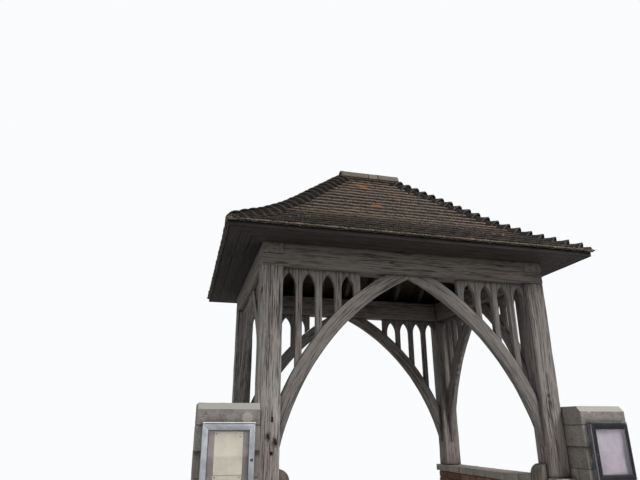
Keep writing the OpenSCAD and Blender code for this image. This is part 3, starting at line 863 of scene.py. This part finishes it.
# Lays the tiles of one slope, with a course of short ones under the lowest
def tile_slope(slope, tile):
    _, inward, middle, half = SLOPES[slope]
    laid = []
    pitch_w = TILE_W + TILE_GAP
    for i in range(-1, COURSES):
        d = max(i, 0) * GAUGE
        back = SIDE_SET_BACK if i < 1 and slope in ("left", "right") else 0.0
        reach = half - slope_place(d)[0] + 0.02
        lean = slope_lean(d, d + GAUGE) - math.atan2(NOSE, GAUGE)
        lift = NOSE - TILE_T - 0.0005
        if i < 0:
            lift, d = lift - TILE_T - 0.0012, 0.006
        wander = chance.uniform(-0.012, 0.012)
        count = int(reach / pitch_w) + 2
        bond = 0.5 if i % 2 else 0.0
        sag = chance.uniform(-0.0012, 0.0012)
        for k in range(-count, count + 1):
            along = (k + bond) * pitch_w + wander
            if abs(along) > reach + TILE_W / 2:
                continue
            one = another(tile, place_on_slope(
                slope, along, d + back + chance.uniform(0.0, 0.0035),
                lift + chance.uniform(-0.0006, 0.0008) + sag,
                lean + chance.uniform(-0.012, 0.006),
                chance.gauss(0, 0.008), chance.gauss(0, 0.006)))
            set_tone(one, min(max(chance.gauss(0.5, 0.2), 0), 1))
            laid.append(one)
    roof = joined(slope + "_tiles", laid)
    mitre_ends(roof, slope)
    cut(roof, middle + inward * EAVE_Y, inward)
    smooth(roof, 30)
    return roof


# Boards under the tiles, seen between the rafters
def board_slope(slope):
    way, inward, middle, half = SLOPES[slope]
    boards = []
    width, thick, under_tiles = 0.149, 0.012, 0.028
    d = 0.056
    while d < SLOPE_LEN - 0.03:
        end = min(d + width, SLOPE_LEN - 0.005)
        (r0, h0), (r1, h1) = straight_place(d), straight_place(end)
        up = way_up(inward, math.atan2(h1 - h0, r1 - r0))
        length = math.hypot(h1 - h0, r1 - r0)
        board = block("board", (-half, 0.001, -thick), (half, length - 0.001, 0))
        bevel_edges(board, lambda a, b: abs(a.x - b.x) > 0.1 and max(a.z, b.z) < -0.001, 0.002)
        out = way.cross(up)
        origin = middle + inward * r0 + Z * h0 - out * under_tiles
        board.matrix_world = placing((way, up, out), origin)
        set_tone(board, chance.random())
        boards.append(board)
        d = end
    deck = joined(slope + "_boards", boards)
    mitre_ends(deck, slope)
    return deck


tile = plain_tile()
for slope in SLOPES:
    finish_piece(tile_slope(slope, tile), tile_clay, replaces=[slope + "_tiling"])
    finish_piece(board_slope(slope), board_oak[LIES_ALONG[slope]])
throw_away(tile)


# ---- bonnets and ridge tiles

BONNET_NOSE, BONNET_HEAD, BONNET_DROP, BONNET_T = 0.150, 0.098, 0.098, 0.013
BONNET_L = 0.165
HIPS = ((-1, -1), (1, -1), (1, 1), (-1, 1))


# The outside of one bonnet with its axis along z, its open nose at z = 0, flared at three given
# rings
def bonnet_skin():
    skin = made(bpy.ops.mesh.primitive_cone_add, vertices=40, radius1=BONNET_NOSE,
                radius2=BONNET_HEAD, depth=BONNET_L, end_fill_type="NOTHING",
                location=(0, 0, BONNET_L / 2))
    for z, grow in ((0.022, 0.973), (0.055, 0.958), (0.1, 0.972)):
        ring_at(skin, 2, z)
        stretch(skin, lambda p: abs(p.z - z) < 0.002, (grow, grow, 1), (0, 0, z))
    return skin


# The mortar under a bonnet's nose, a rough fillet set back from the edge
def nose_bed():
    depth, set_back = 0.06, 0.010
    bed = made(bpy.ops.mesh.primitive_cone_add, vertices=40,
               radius1=BONNET_NOSE - BONNET_T + 0.002, radius2=0.085, depth=depth,
               end_fill_type="NGON", location=(0, 0, set_back + depth / 2))
    inset_faces(bed, lambda f: f.normal.z < -0.9, (0.012, -0.004), (0.02, 0.003))
    return bed


# Takes off what lies below both slopes at once, given their planes
def trim_under(piece, planes, close):
    for point, out in planes:
        ring(piece, point, out)
    choose(piece, "FACE", lambda f: all((f.center - at).dot(out) < 0 for at, out in planes))
    bpy.ops.mesh.delete(type="FACE")
    if close:
        bpy.ops.mesh.select_all(action="SELECT")
        bpy.ops.mesh.fill_holes(sides=0)
    end_edit()


def hip_point(sx, sy, d):
    run, height = slope_place(d)
    return Vector((sx * (EAVE_X - run), sy * (EAVE_Y - run), TILE_BASE + height))


# Where a bonnet lies on a hip: Z is up the hip, X is down into the roof
def hip_frame(sx, sy, i):
    low, high = hip_point(sx, sy, i * GAUGE), hip_point(sx, sy, (i + 1) * GAUGE)
    axis = (high - low).normalized()
    up = (Z - axis * axis.z).normalized()
    return placing((-up, axis.cross(-up), axis), low - up * BONNET_DROP)


# The planes of the first hip's two slopes at a course, as its bonnet sees them
def slope_planes(i, lift):
    sx, sy = HIPS[0]
    back = hip_frame(sx, sy, i).inverted()
    lean = slope_lean(i * GAUGE, (i + 1) * GAUGE)
    point = hip_point(sx, sy, (i + 0.5) * GAUGE)
    planes = []
    for way in (X * sx, Y * sy):
        out = way * math.sin(lean) + Z * math.cos(lean)
        planes.append((back @ (point + out * lift), back.to_3x3() @ out))
    return planes


skin, bed = bonnet_skin(), nose_bed()
shells, beds = [], []
for i in range(COURSES):
    shell = another(skin)
    trim_under(shell, slope_planes(i, 0.001), close=False)
    use_modifier(shell, "SOLIDIFY", thickness=BONNET_T, offset=-1)
    face_outwards(shell)
    fill = another(bed)
    trim_under(fill, slope_planes(i, -0.006), close=True)
    face_outwards(fill)
    for sx, sy in HIPS:
        jog = Matrix.Translation((chance.uniform(-0.002, 0.002), chance.uniform(-0.003, 0.003),
                                  chance.uniform(-0.002, 0.003)))
        turn = Matrix.Rotation(chance.gauss(0, 0.010), 4, "X")
        turn = turn @ Matrix.Rotation(chance.gauss(0, 0.008), 4, "Y")
        place = hip_frame(sx, sy, i) @ jog @ turn
        shells.append(another(shell, place))
        set_tone(shells[-1], min(max(chance.gauss(0.55, 0.2), 0), 1))
        beds.append(another(fill, place))
    throw_away(shell, fill)
throw_away(skin, bed)
bonnets = joined("bonnet_tiles", shells)
bonnet_mortar = joined("bonnet_mortar", beds)
for piece, over in ((bonnets, 0.006), (bonnet_mortar, 0.000)):
    for side in (-1, 1):
        cut(piece, X * side * (EAVE_X - SIDE_SET_BACK + over), X * side)
        cut(piece, Y * side * (EAVE_Y + over), Y * side)
    for sx, sy in HIPS:
        out = Vector((sx, sy, 0)).normalized()
        corner = Vector((sx * (EAVE_X - SIDE_SET_BACK), sy * EAVE_Y, TILE_BASE + 0.010 + over))
        cut(piece, corner, out * 0.72 + Z * 0.69)
    face_outwards(piece)
smooth(bonnets, 40)
finish_piece(bonnets, shaded_bonnet_clay, replaces=["bonnet_hips"])
finish_piece(bonnet_mortar, bedding_mortar)

ACROSS = (0, math.pi / 2, 0)
RIDGE_R, RIDGE_BED_R = 0.105, 0.0925


# A half-round ridge tile along x with its middle at the origin
def ridge_tile(length):
    piece = made(bpy.ops.mesh.primitive_cylinder_add, vertices=40, radius=RIDGE_R, depth=length,
                 end_fill_type="NOTHING", rotation=ACROSS)
    cut(piece, (0, 0, 0.004), -Z, fill=False)
    for x in (-length / 4, 0, length / 4):
        ring_at(piece, 0, x)
    stretch(piece, lambda p: abs(p.x) < length * 0.3, (1, 0.985, 0.985))
    face_outwards(piece)
    use_modifier(piece, "SOLIDIFY", thickness=0.016, offset=-1)
    use_modifier(piece, "BEVEL", width=0.003, segments=2, limit_method="ANGLE")
    smooth(piece, 40)
    return piece


# Middles of the ridge tiles, their lengths and tones, from the left end of the row
ridge_tiles = []
for middle, length, tone in ((0.1675, 0.335, 0.42), (0.4005, 0.115, 0.72), (0.602, 0.272, 0.5)):
    one = ridge_tile(length)
    place = Matrix.Translation((middle - RIDGE_ROW / 2, 0, RIDGE_AXIS - 0.001))
    one.matrix_world = place @ Matrix.Rotation(chance.gauss(0, 0.004), 4, "Y")
    set_tone(one, tone)
    ridge_tiles.append(one)
finish_piece(joined("ridge_line", ridge_tiles), ridge_clay, replaces=["ridge_tiles"])

ridge_bed = made(bpy.ops.mesh.primitive_cylinder_add, "ridge_mortar", vertices=40,
                 radius=RIDGE_BED_R, depth=RIDGE_ROW - 0.016, rotation=ACROSS,
                 location=(0, 0, RIDGE_AXIS))
cut(ridge_bed, (0, 0, RIDGE_AXIS - 0.02), -Z)
inset_faces(ridge_bed, lambda f: abs(f.normal.x) > 0.9, (0.02, -0.004))
finish_piece(ridge_bed, dark_mortar)


# ---- boards under the eaves

SOFFIT_T = 0.013
SOFFIT_EDGES = (0.0445, 0.150, 0.258, 0.3695)


# An eaves board, and flat boards nailed under the sprockets as far as the plate
def soffit(slope):
    way, inward, middle, half = SLOPES[slope]
    boards = [block("board", (-half, 0.030, PLATE_TOP - 0.014), (half, 0.044, PLATE_TOP + 0.029))]
    round_off(boards[0], 0.002)
    rings_along(boards[0], (0,), 0.12)
    for start, end in zip(SOFFIT_EDGES, SOFFIT_EDGES[1:]):
        board = block("board", (-half, start + 0.0012, PLATE_TOP - SOFFIT_T),
                      (half, end - 0.0012, PLATE_TOP))
        bevel_edges(board, lambda a, b: abs(a.x - b.x) > 0.1 and a.z < PLATE_TOP - 0.01, 0.002)
        for k in range(1, 9):
            ring_at(board, 0, -half + k * half / 4.5)
        boards.append(board)
    for board in boards:
        wear(board, waves, 0.002, 0.75)
        board.matrix_world = placing((way, inward, Z), (middle.x, middle.y, -0.0006))
        set_tone(board, chance.random())
    edging = joined(slope + "_eaves_board", boards[:1])
    deck = joined(slope + "_soffit", boards[1:])
    mitre_ends(deck, slope)
    mitre_ends(edging, slope)
    finish_piece(edging, shaded_eaves_oak[LIES_ALONG[slope]])
    finish_piece(deck, soffit_oak[LIES_ALONG[slope]])


for slope in SLOPES:
    soffit(slope)


# ---- worn timber

# A piece of its own with the shape of a carried one, its faces whole again
def plain_copy(node, name):
    source = nodes[node]
    piece = bpy.data.objects.new(name, source.data.copy())
    scene.collection.objects.link(piece)
    piece.matrix_world = source.matrix_world
    settle(piece)
    face_outwards(piece)
    open_whole(piece)
    bpy.ops.mesh.dissolve_limited(angle_limit=math.radians(0.3))
    end_edit()
    return piece


# A hole where a peg has dropped out of a post's front face
def open_hole(piece, x, z, width, height, deep=0.03, slip=0.004):
    def inside(place, y):
        return (abs(place.y - y) < 0.001 and abs(place.x - x) < width / 2 + 0.001
                and abs(place.z - z) < height / 2 + 0.001)

    for side in (-0.5, 0.5):
        ring_at(piece, 0, x + side * width)
        ring_at(piece, 2, z + side * height)
    inset_faces(piece, lambda f: inside(f.center, POST_FACE), (0, -deep))
    shift(piece, lambda p: inside(p, POST_FACE + deep), (slip, 0, -slip))


def worn_timber(node, material, axis, step, soften, depth, holes=()):
    piece = plain_copy(node, node + "_oak")
    for hole in holes:
        open_hole(piece, *hole)
    round_off(piece, soften)
    rings_along(piece, (axis,), step)
    wear(piece, waves, depth, 0.75)
    smooth(piece, 40)
    finish_piece(piece, material, replaces=[node])


POST_HOLES = {"front_left": ((-1.321, 1.499, 0.016, 0.040), (-1.320, 1.240, 0.019, 0.022))}
for post in ("front_left", "front_right", "back_left", "back_right"):
    worn_timber(post + "_post", post_oak, 2, 0.10, 0.008, 0.010,
                POST_HOLES.get(post, ()))
worn_timber("gate_posts", gate_post_oak, 2, 0.12, 0.006, 0.006)
for side, run in LIES_ALONG.items():
    worn_timber(side + "_plate", plate_oak[run], "xy".index(run), 0.13, 0.007, 0.007)
for side in LIES_ALONG:
    piece = plain_copy(side + "_spandrels", side + "_spandrels_oak")
    round_off(piece, 0.003, 40)
    smooth(piece, 30)
    finish_piece(piece, spandrel_oak, replaces=[side + "_spandrels"])
for side, run in LIES_ALONG.items():
    for end in ("left", "right") if run == "x" else ("front", "back"):
        worn_timber(side + "_" + end + "_brace", brace_oak[run], "xy".index(run),
                    0.10, 0.003, 0.005)


# ---- masonry

BRICK_COURSES = 12
COURSE = WALL_H / BRICK_COURSES
BRICK_L, BRICK_W, BRICK_H, JOINT = 0.215, 0.110, 0.0665, 0.010


def one_brick():
    half = Vector((BRICK_L, BRICK_W, BRICK_H)) / 2
    brick = block("brick", -half, half)
    bevel_edges(brick, lambda a, b: True, 0.004)
    return brick


# A wall one brick thick, stretchers and headers by turns in every course
def brick_wall(side, name, brick):
    middle = side * WALL_X
    laid = []
    for course in range(BRICK_COURSES):
        z = (course + 0.5) * COURSE
        y = -WALL_HALF_L - (0.1675 if course % 2 else 0.0)
        header = False
        while y < WALL_HALF_L:
            length = BRICK_W - 0.005 if header else BRICK_L
            start, end = max(y, -WALL_HALF_L), min(y + length, WALL_HALF_L)
            if end - start > 0.03:
                width = WALL_HALF_T * 2 / BRICK_W if header else 1
                size = Matrix.Diagonal(((end - start) / BRICK_L, width, 1, 1))
                for leaf in (0,) if header else (-1, 1):
                    out = leaf * (WALL_HALF_T - BRICK_W / 2) - leaf * chance.uniform(0, 0.0022)
                    turn = Matrix.Rotation(math.pi / 2 + chance.gauss(0, 0.004), 4, "Z")
                    lean = Matrix.Rotation(chance.gauss(0, 0.005), 4, "X")
                    rise = chance.uniform(-0.0015, 0.0015)
                    place = Matrix.Translation((middle + out, (start + end) / 2, z + rise))
                    one = another(brick, place @ turn @ lean @ size)
                    set_tone(one, chance.random())
                    laid.append(one)
            y += length + JOINT
            header = not header
    wall = joined(name + "_wall_bricks", laid)
    trim(wall, 0, middle - WALL_HALF_T, middle + WALL_HALF_T)
    trim(wall, 1, -WALL_HALF_L, WALL_HALF_L)
    trim(wall, 2, 0, WALL_H)
    finish_piece(wall, brick_clay, replaces=[name + "_dwarf_wall"])
    back = 0.006
    core = block(name + "_wall_mortar", (middle - WALL_HALF_T + back, back - WALL_HALF_L, 0.001),
                 (middle + WALL_HALF_T - back, WALL_HALF_L - back, WALL_H - 0.0005))
    rings_along(core, (1, 2), 0.09)
    wear(core, dents, 0.004)
    finish_piece(core, bedding_mortar)


brick = one_brick()
for side, name in SIDES:
    brick_wall(side, name, brick)
throw_away(brick)


# The part of a piece inside a box, on which None leaves a side open
def part_of(piece, low, high):
    stone = another(piece)
    for axis in range(3):
        trim(stone, axis, low[axis], high[axis])
    return stone


def dressed(stones, name, soften, depth, crease=42):
    for stone in stones:
        round_off(stone, soften, 60)
        wear(stone, dents, depth)
        set_tone(stone, chance.random())
    whole = joined(name, stones)
    smooth(whole, crease)
    return whole


# A pier of squared stones, two to a course, over a core of mortar
def pier(side, name):
    whole = plain_copy(name + "_pier", "whole")
    rings_along(whole, (0, 1, 2), 0.085)
    joint, course, core_half = 0.0018, 0.1835, 0.2355
    middle_x = side * PIER_X
    tops = [1.4525]
    while tops[-1] > 0.25:
        tops.append(tops[-1] - course)
    tops.append(0.0)
    stones = []
    for n, (top, bottom) in enumerate(zip(tops, tops[1:])):
        high, low = top - joint, bottom + joint if bottom else 0.0
        share = (0.07, -0.06, -0.09, 0.05)[n % 4]
        axis, at = (0, middle_x + side * share) if n % 2 else (1, PIER_Y + share)
        for ends in ((None, at - joint), (at + joint, None)):
            lows, highs = [None, None, low], [None, None, high]
            lows[axis], highs[axis] = ends
            stones.append(part_of(whole, lows, highs))
    throw_away(whole)
    pier_stones = dressed(stones, name + "_pier_stones", 0.003, 0.003)
    trim(pier_stones, 2, 0, None)
    finish_piece(pier_stones, pier_stone, replaces=[name + "_pier"])
    core = block(name + "_pier_mortar", (middle_x - core_half, PIER_Y - core_half, 0.001),
                 (middle_x + core_half, PIER_Y + core_half, 1.4620))
    rings_along(core, (0, 1, 2), 0.08)
    wear(core, dents, 0.002)
    finish_piece(core, joint_mortar)


for side, name in SIDES:
    pier(side, name)

caps = plain_copy("pier_caps", "cap_stones")
for x in [side * (1.47 + 0.055 * k) for side in (-1, 1) for k in range(9)]:
    ring_at(caps, 0, x)
rings_along(caps, (1, 2), 0.055)
finish_piece(dressed([caps], "cap_stones", 0.005, 0.005, 24), cap_stone,
             replaces=["pier_caps"])

# The coping of each wall in four stones, with mortar in the joints between them
COPING_JOINTS = (-0.615, 0.012, 0.590)
whole = plain_copy("wall_copings", "whole")
rings_along(whole, (1,), 0.085)
stones = []
starts = (None, *[at + 0.003 for at in COPING_JOINTS])
ends = (*[at - 0.003 for at in COPING_JOINTS], None)
for left, right in ((None, 0), (0, None)):
    for low, high in zip(starts, ends):
        stones.append(part_of(whole, (left, low, None), (right, high, None)))
throw_away(whole)
finish_piece(dressed(stones, "wall_coping_stones", 0.006, 0.005), coping_stone,
             replaces=["wall_copings"])
fillets = []
for side in (-1, 1):
    for joint in COPING_JOINTS:
        fillet = block("fillet", (side * WALL_X - 0.127, joint - 0.005, 0.927),
                       (side * WALL_X + 0.127, joint + 0.005, 0.992))
        rings_along(fillet, (0,), 0.04)
        wear(fillet, dents, 0.002)
        fillets.append(fillet)
finish_piece(joined("coping_mortar", fillets), joint_mortar)


# ---- notice cases

HALF_W, HALF_H, RIM = 0.195, 0.231, 0.043
INNER_W, INNER_H = HALF_W - RIM, HALF_H - RIM
CASE_X, CASE_Z = 1.690, 1.230
DOOR_FRONT = -1.418
BEAD, BEAD_FRONT, BEAD_BACK = 0.003, -1.4132, -1.4111
BOARD_FRONT, BOARD_BACK, PAPER_Y, PIN_Y = -1.3765, -1.3632, -1.3772, -1.3792
LOCK_X, LOCK_Z = 1.516, 1.209
UPRIGHT = (math.pi / 2, 0, 0)


def looks_forward(face):
    return face.normal.y < -0.9


# The door's frame as four bars, mitred at the corners and chamfered round the pane
def mitred_frame(side, name, material):
    whole = plain_copy(name + "_notice_door", "whole")
    centre = Vector((side * CASE_X, 0, CASE_Z))

    def on_inner_edge(a, b):
        on_x = all(abs(abs(p.x - centre.x) - INNER_W) < 0.001 for p in (a, b))
        on_z = all(abs(abs(p.z - CASE_Z) - INNER_H) < 0.001 for p in (a, b))
        return max(a.y, b.y) < DOOR_FRONT + 0.001 and (
            on_x and abs(a.x - b.x) < 0.001 or on_z and abs(a.z - b.z) < 0.001)

    bars = []
    for out in (Z, X, -Z, -X):
        bar = another(whole)
        along = Vector((out.z, 0, out.x))
        for end in (-1, 1):
            reach = out + along * end
            corner = centre + Vector((reach.x * HALF_W, 0, reach.z * HALF_H))
            keep = (out - along * end).normalized()
            cut(bar, corner + keep * 0.0004, -keep)
        bevel_edges(bar, on_inner_edge, 0.005, segments=2)
        round_off(bar, 0.0008, 50)
        bars.append(bar)
    throw_away(whole)
    bars = joined(name + "_notice_frame", bars)
    smooth(bars, 40)
    finish_piece(bars, material, body=name + "_door",
                 replaces=[name + "_notice_door"])

    # Dark bead between the frame and the pane
    beads = []
    for x0, x1, z0, z1 in ((-INNER_W, INNER_W, INNER_H - BEAD, INNER_H),
                           (-INNER_W, INNER_W, -INNER_H, BEAD - INNER_H),
                           (-INNER_W, BEAD - INNER_W, BEAD - INNER_H, INNER_H - BEAD),
                           (INNER_W - BEAD, INNER_W, BEAD - INNER_H, INNER_H - BEAD)):
        strip = block("strip", (centre.x + x0 + 0.0002, BEAD_FRONT, CASE_Z + z0),
                      (centre.x + x1 - 0.0002, BEAD_BACK, CASE_Z + z1))
        round_off(strip, 0.0007)
        beads.append(strip)
    finish_piece(joined(name + "_pane_bead", beads), dark_rubber,
                 body=name + "_door")

    # Barrel of the lock on the stile away from the hinge, with a slot for the key
    lock_x = side * LOCK_X
    lock = made(bpy.ops.mesh.primitive_cylinder_add, name + "_notice_lock", vertices=32,
                radius=0.0105, depth=0.010, rotation=UPRIGHT,
                location=(lock_x, DOOR_FRONT + 0.0025, LOCK_Z))
    inset_faces(lock, looks_forward, (0.002, 0), (0.0012, -0.0012))
    for half in (-0.0011, 0.0011):
        ring_at(lock, 0, lock_x + half)
    inset_faces(lock, lambda f: looks_forward(f) and abs(f.center.x - lock_x) < 0.001
                and abs(f.center.z - LOCK_Z) < 0.004, (0, -0.003))
    round_off(lock, 0.0006, 60)
    smooth(lock, 40)
    finish_piece(lock, lock_metal, body=name + "_door")


# The covered board at the back of a case
def pin_board(side, name, material):
    x = side * CASE_X
    half_w, half_h = 0.1912, 0.2305
    board = block(name + "_pin_board", (x - half_w, BOARD_FRONT, CASE_Z - half_h),
                  (x + half_w, BOARD_BACK, CASE_Z + half_h))
    rings_along(board, (0, 2), 0.05)
    round_off(board, 0.003)
    smooth(board, 40)
    finish_piece(board, material)


# A bare sheet of paper, pinned up and a little curled
def paper(name, left, top, width, height, curl, pins):
    middle = (left + width / 2, PAPER_Y, top - height / 2)
    page = made(bpy.ops.mesh.primitive_grid_add, name, x_subdivisions=12, y_subdivisions=16,
                size=1, location=middle, rotation=UPRIGHT)
    stretch(page, lambda p: True, (width, 1, height), middle)
    for k in range(1, 8):
        limit = top - height + height * 0.35 * (1 - k / 8)
        shift(page, lambda p: p.z < limit, (0, -curl * k / 28, 0))
        edge = left + width * (1 - 0.2 * (1 - k / 8))
        shift(page, lambda p: p.x > edge and p.z < top - height * 0.3, (0, -curl * k / 40, 0))
    use_modifier(page, "SOLIDIFY", thickness=0.0004, offset=0)
    smooth(page, 60)
    finish_piece(page, bare_paper)
    heads = []
    for x, z in pins:
        head = made(bpy.ops.mesh.primitive_cylinder_add, vertices=20, radius=0.0045, depth=0.003,
                    rotation=UPRIGHT, location=(x, PIN_Y, z))
        inset_faces(head, looks_forward, (0.0018, 0.0009))
        smooth(head, 50)
        heads.append(head)
    finish_piece(joined(name + "_pins", heads), lock_metal)


mitred_frame(-1, "left", case_metal)
mitred_frame(1, "right", dark_reflection_case_metal)
pin_board(-1, "left", mauve_board)
pin_board(1, "right", pale_board)
paper("notice_sheet", -1.791, 1.405, 0.210, 0.297, 0.005, ((-1.604, 1.371), (-1.778, 1.393)))
paper("lower_sheet", -1.7935, 1.1035, 0.210, 0.099, 0.002, ((-1.600, 1.092), (-1.779, 1.092)))


# ---- finishes of the carried pieces

for material, names in (
        (rafter_oak["y"], ("front_rafters", "back_rafters", "hip_rafters")),
        (rafter_oak["x"], ("left_rafters", "right_rafters", "ridge_board")),
        (highlight_lid_metal, ("left_notice_case",)), (dark_body_metal, ("right_notice_case",)),
        (case_pane, ("left_notice_pane", "right_notice_pane"))):
    for name in names:
        for slot in nodes[name].material_slots:
            slot.material = material


# ---- light, floor and camera

PALE_SKY = (0.96, 0.97, 0.98, 1)


# A surface that the camera sees as pale further off, and that keeps the shadows near by
def studio_floor():
    floor = made(bpy.ops.mesh.primitive_plane_add, "studio_floor", size=60,
                 location=(0, 0, -0.002))
    s = Finish("studio_floor")
    s.shader.inputs["Base Color"].default_value = (0.66, 0.66, 0.65, 1)
    s.shader.inputs["Roughness"].default_value = 0.9
    far = s.spread(s.vectors("LENGTH", s.place), 4.0, 11.0)
    seen_by_camera = s.add("LightPath").outputs["Is Camera Ray"]
    pale = s.add("Emission", {"Color": PALE_SKY, "Strength": 1.0})
    both = s.add("MixShader", {0: s.times(far, seen_by_camera), 1: s.shader.outputs[0],
                               2: pale.outputs[0]})
    s.give(s.out.inputs[0], both.outputs[0])
    floor.data.materials.append(s.material)


studio_floor()

# The room lights the gate softly, and looks pale to the camera, to metal and through glass
world = bpy.data.worlds.new("studio")
scene.world = world
world.use_nodes = True
s = Sheet(world.node_tree)
light = s.add("Background", {"Color": (0.93, 0.96, 1.0, 1), "Strength": 0.55})
white = s.add("Background", {"Color": PALE_SKY, "Strength": 1.0})
path = s.add("LightPath").outputs
shown = s.math("MAXIMUM", path["Is Camera Ray"], path["Is Glossy Ray"])
shown = s.math("MAXIMUM", shown, path["Is Transmission Ray"])
mix = s.add("MixShader", {0: shown, 1: light.outputs[0], 2: white.outputs[0]})
s.add("OutputWorld", {0: mix.outputs[0]})


def lamp(name, place, target_z, size, power, colour):
    data = bpy.data.lights.new(name, "AREA")
    data.shape = "RECTANGLE"
    data.size, data.size_y = size
    data.energy = power
    data.color = colour
    piece = bpy.data.objects.new(name, data)
    piece.location = place
    piece.rotation_euler = (Z * target_z - Vector(place)).to_track_quat("-Z", "Y").to_euler()
    scene.collection.objects.link(piece)


lamp("key", (5.5, -7.5, 8.5), 2.2, (3.2, 3.2), 1230, (1.0, 0.975, 0.94))
lamp("fill", (-7.5, -5.5, 4.0), 2.2, (5, 4), 190, (0.95, 0.97, 1.0))
lamp("back", (2.0, 8.5, 6.0), 2.5, (5, 4), 340, (1.0, 0.98, 0.96))

# The camera stands where the photographer stood
camera_data = bpy.data.cameras.new("camera")
camera = bpy.data.objects.new("camera", camera_data)
scene.collection.objects.link(camera)
scene.camera = camera
camera_data.sensor_fit = "HORIZONTAL"
camera_data.sensor_width = 36
camera_data.lens = 29.725
camera_data.clip_end = 200
yaw, rise, tilt = math.radians(14.40), math.radians(19.73), math.radians(-0.15)
ahead = Vector((math.sin(yaw) * math.cos(rise), math.cos(yaw) * math.cos(rise), math.sin(rise)))
right = Vector((math.cos(yaw), -math.sin(yaw), 0))
eye = placing((right, right.cross(ahead), -ahead), (-2.0731, -5.6433, 1.4205))
camera.matrix_world = eye @ Matrix.Rotation(tilt, 4, "Z")

scene.view_settings.view_transform = "Standard"
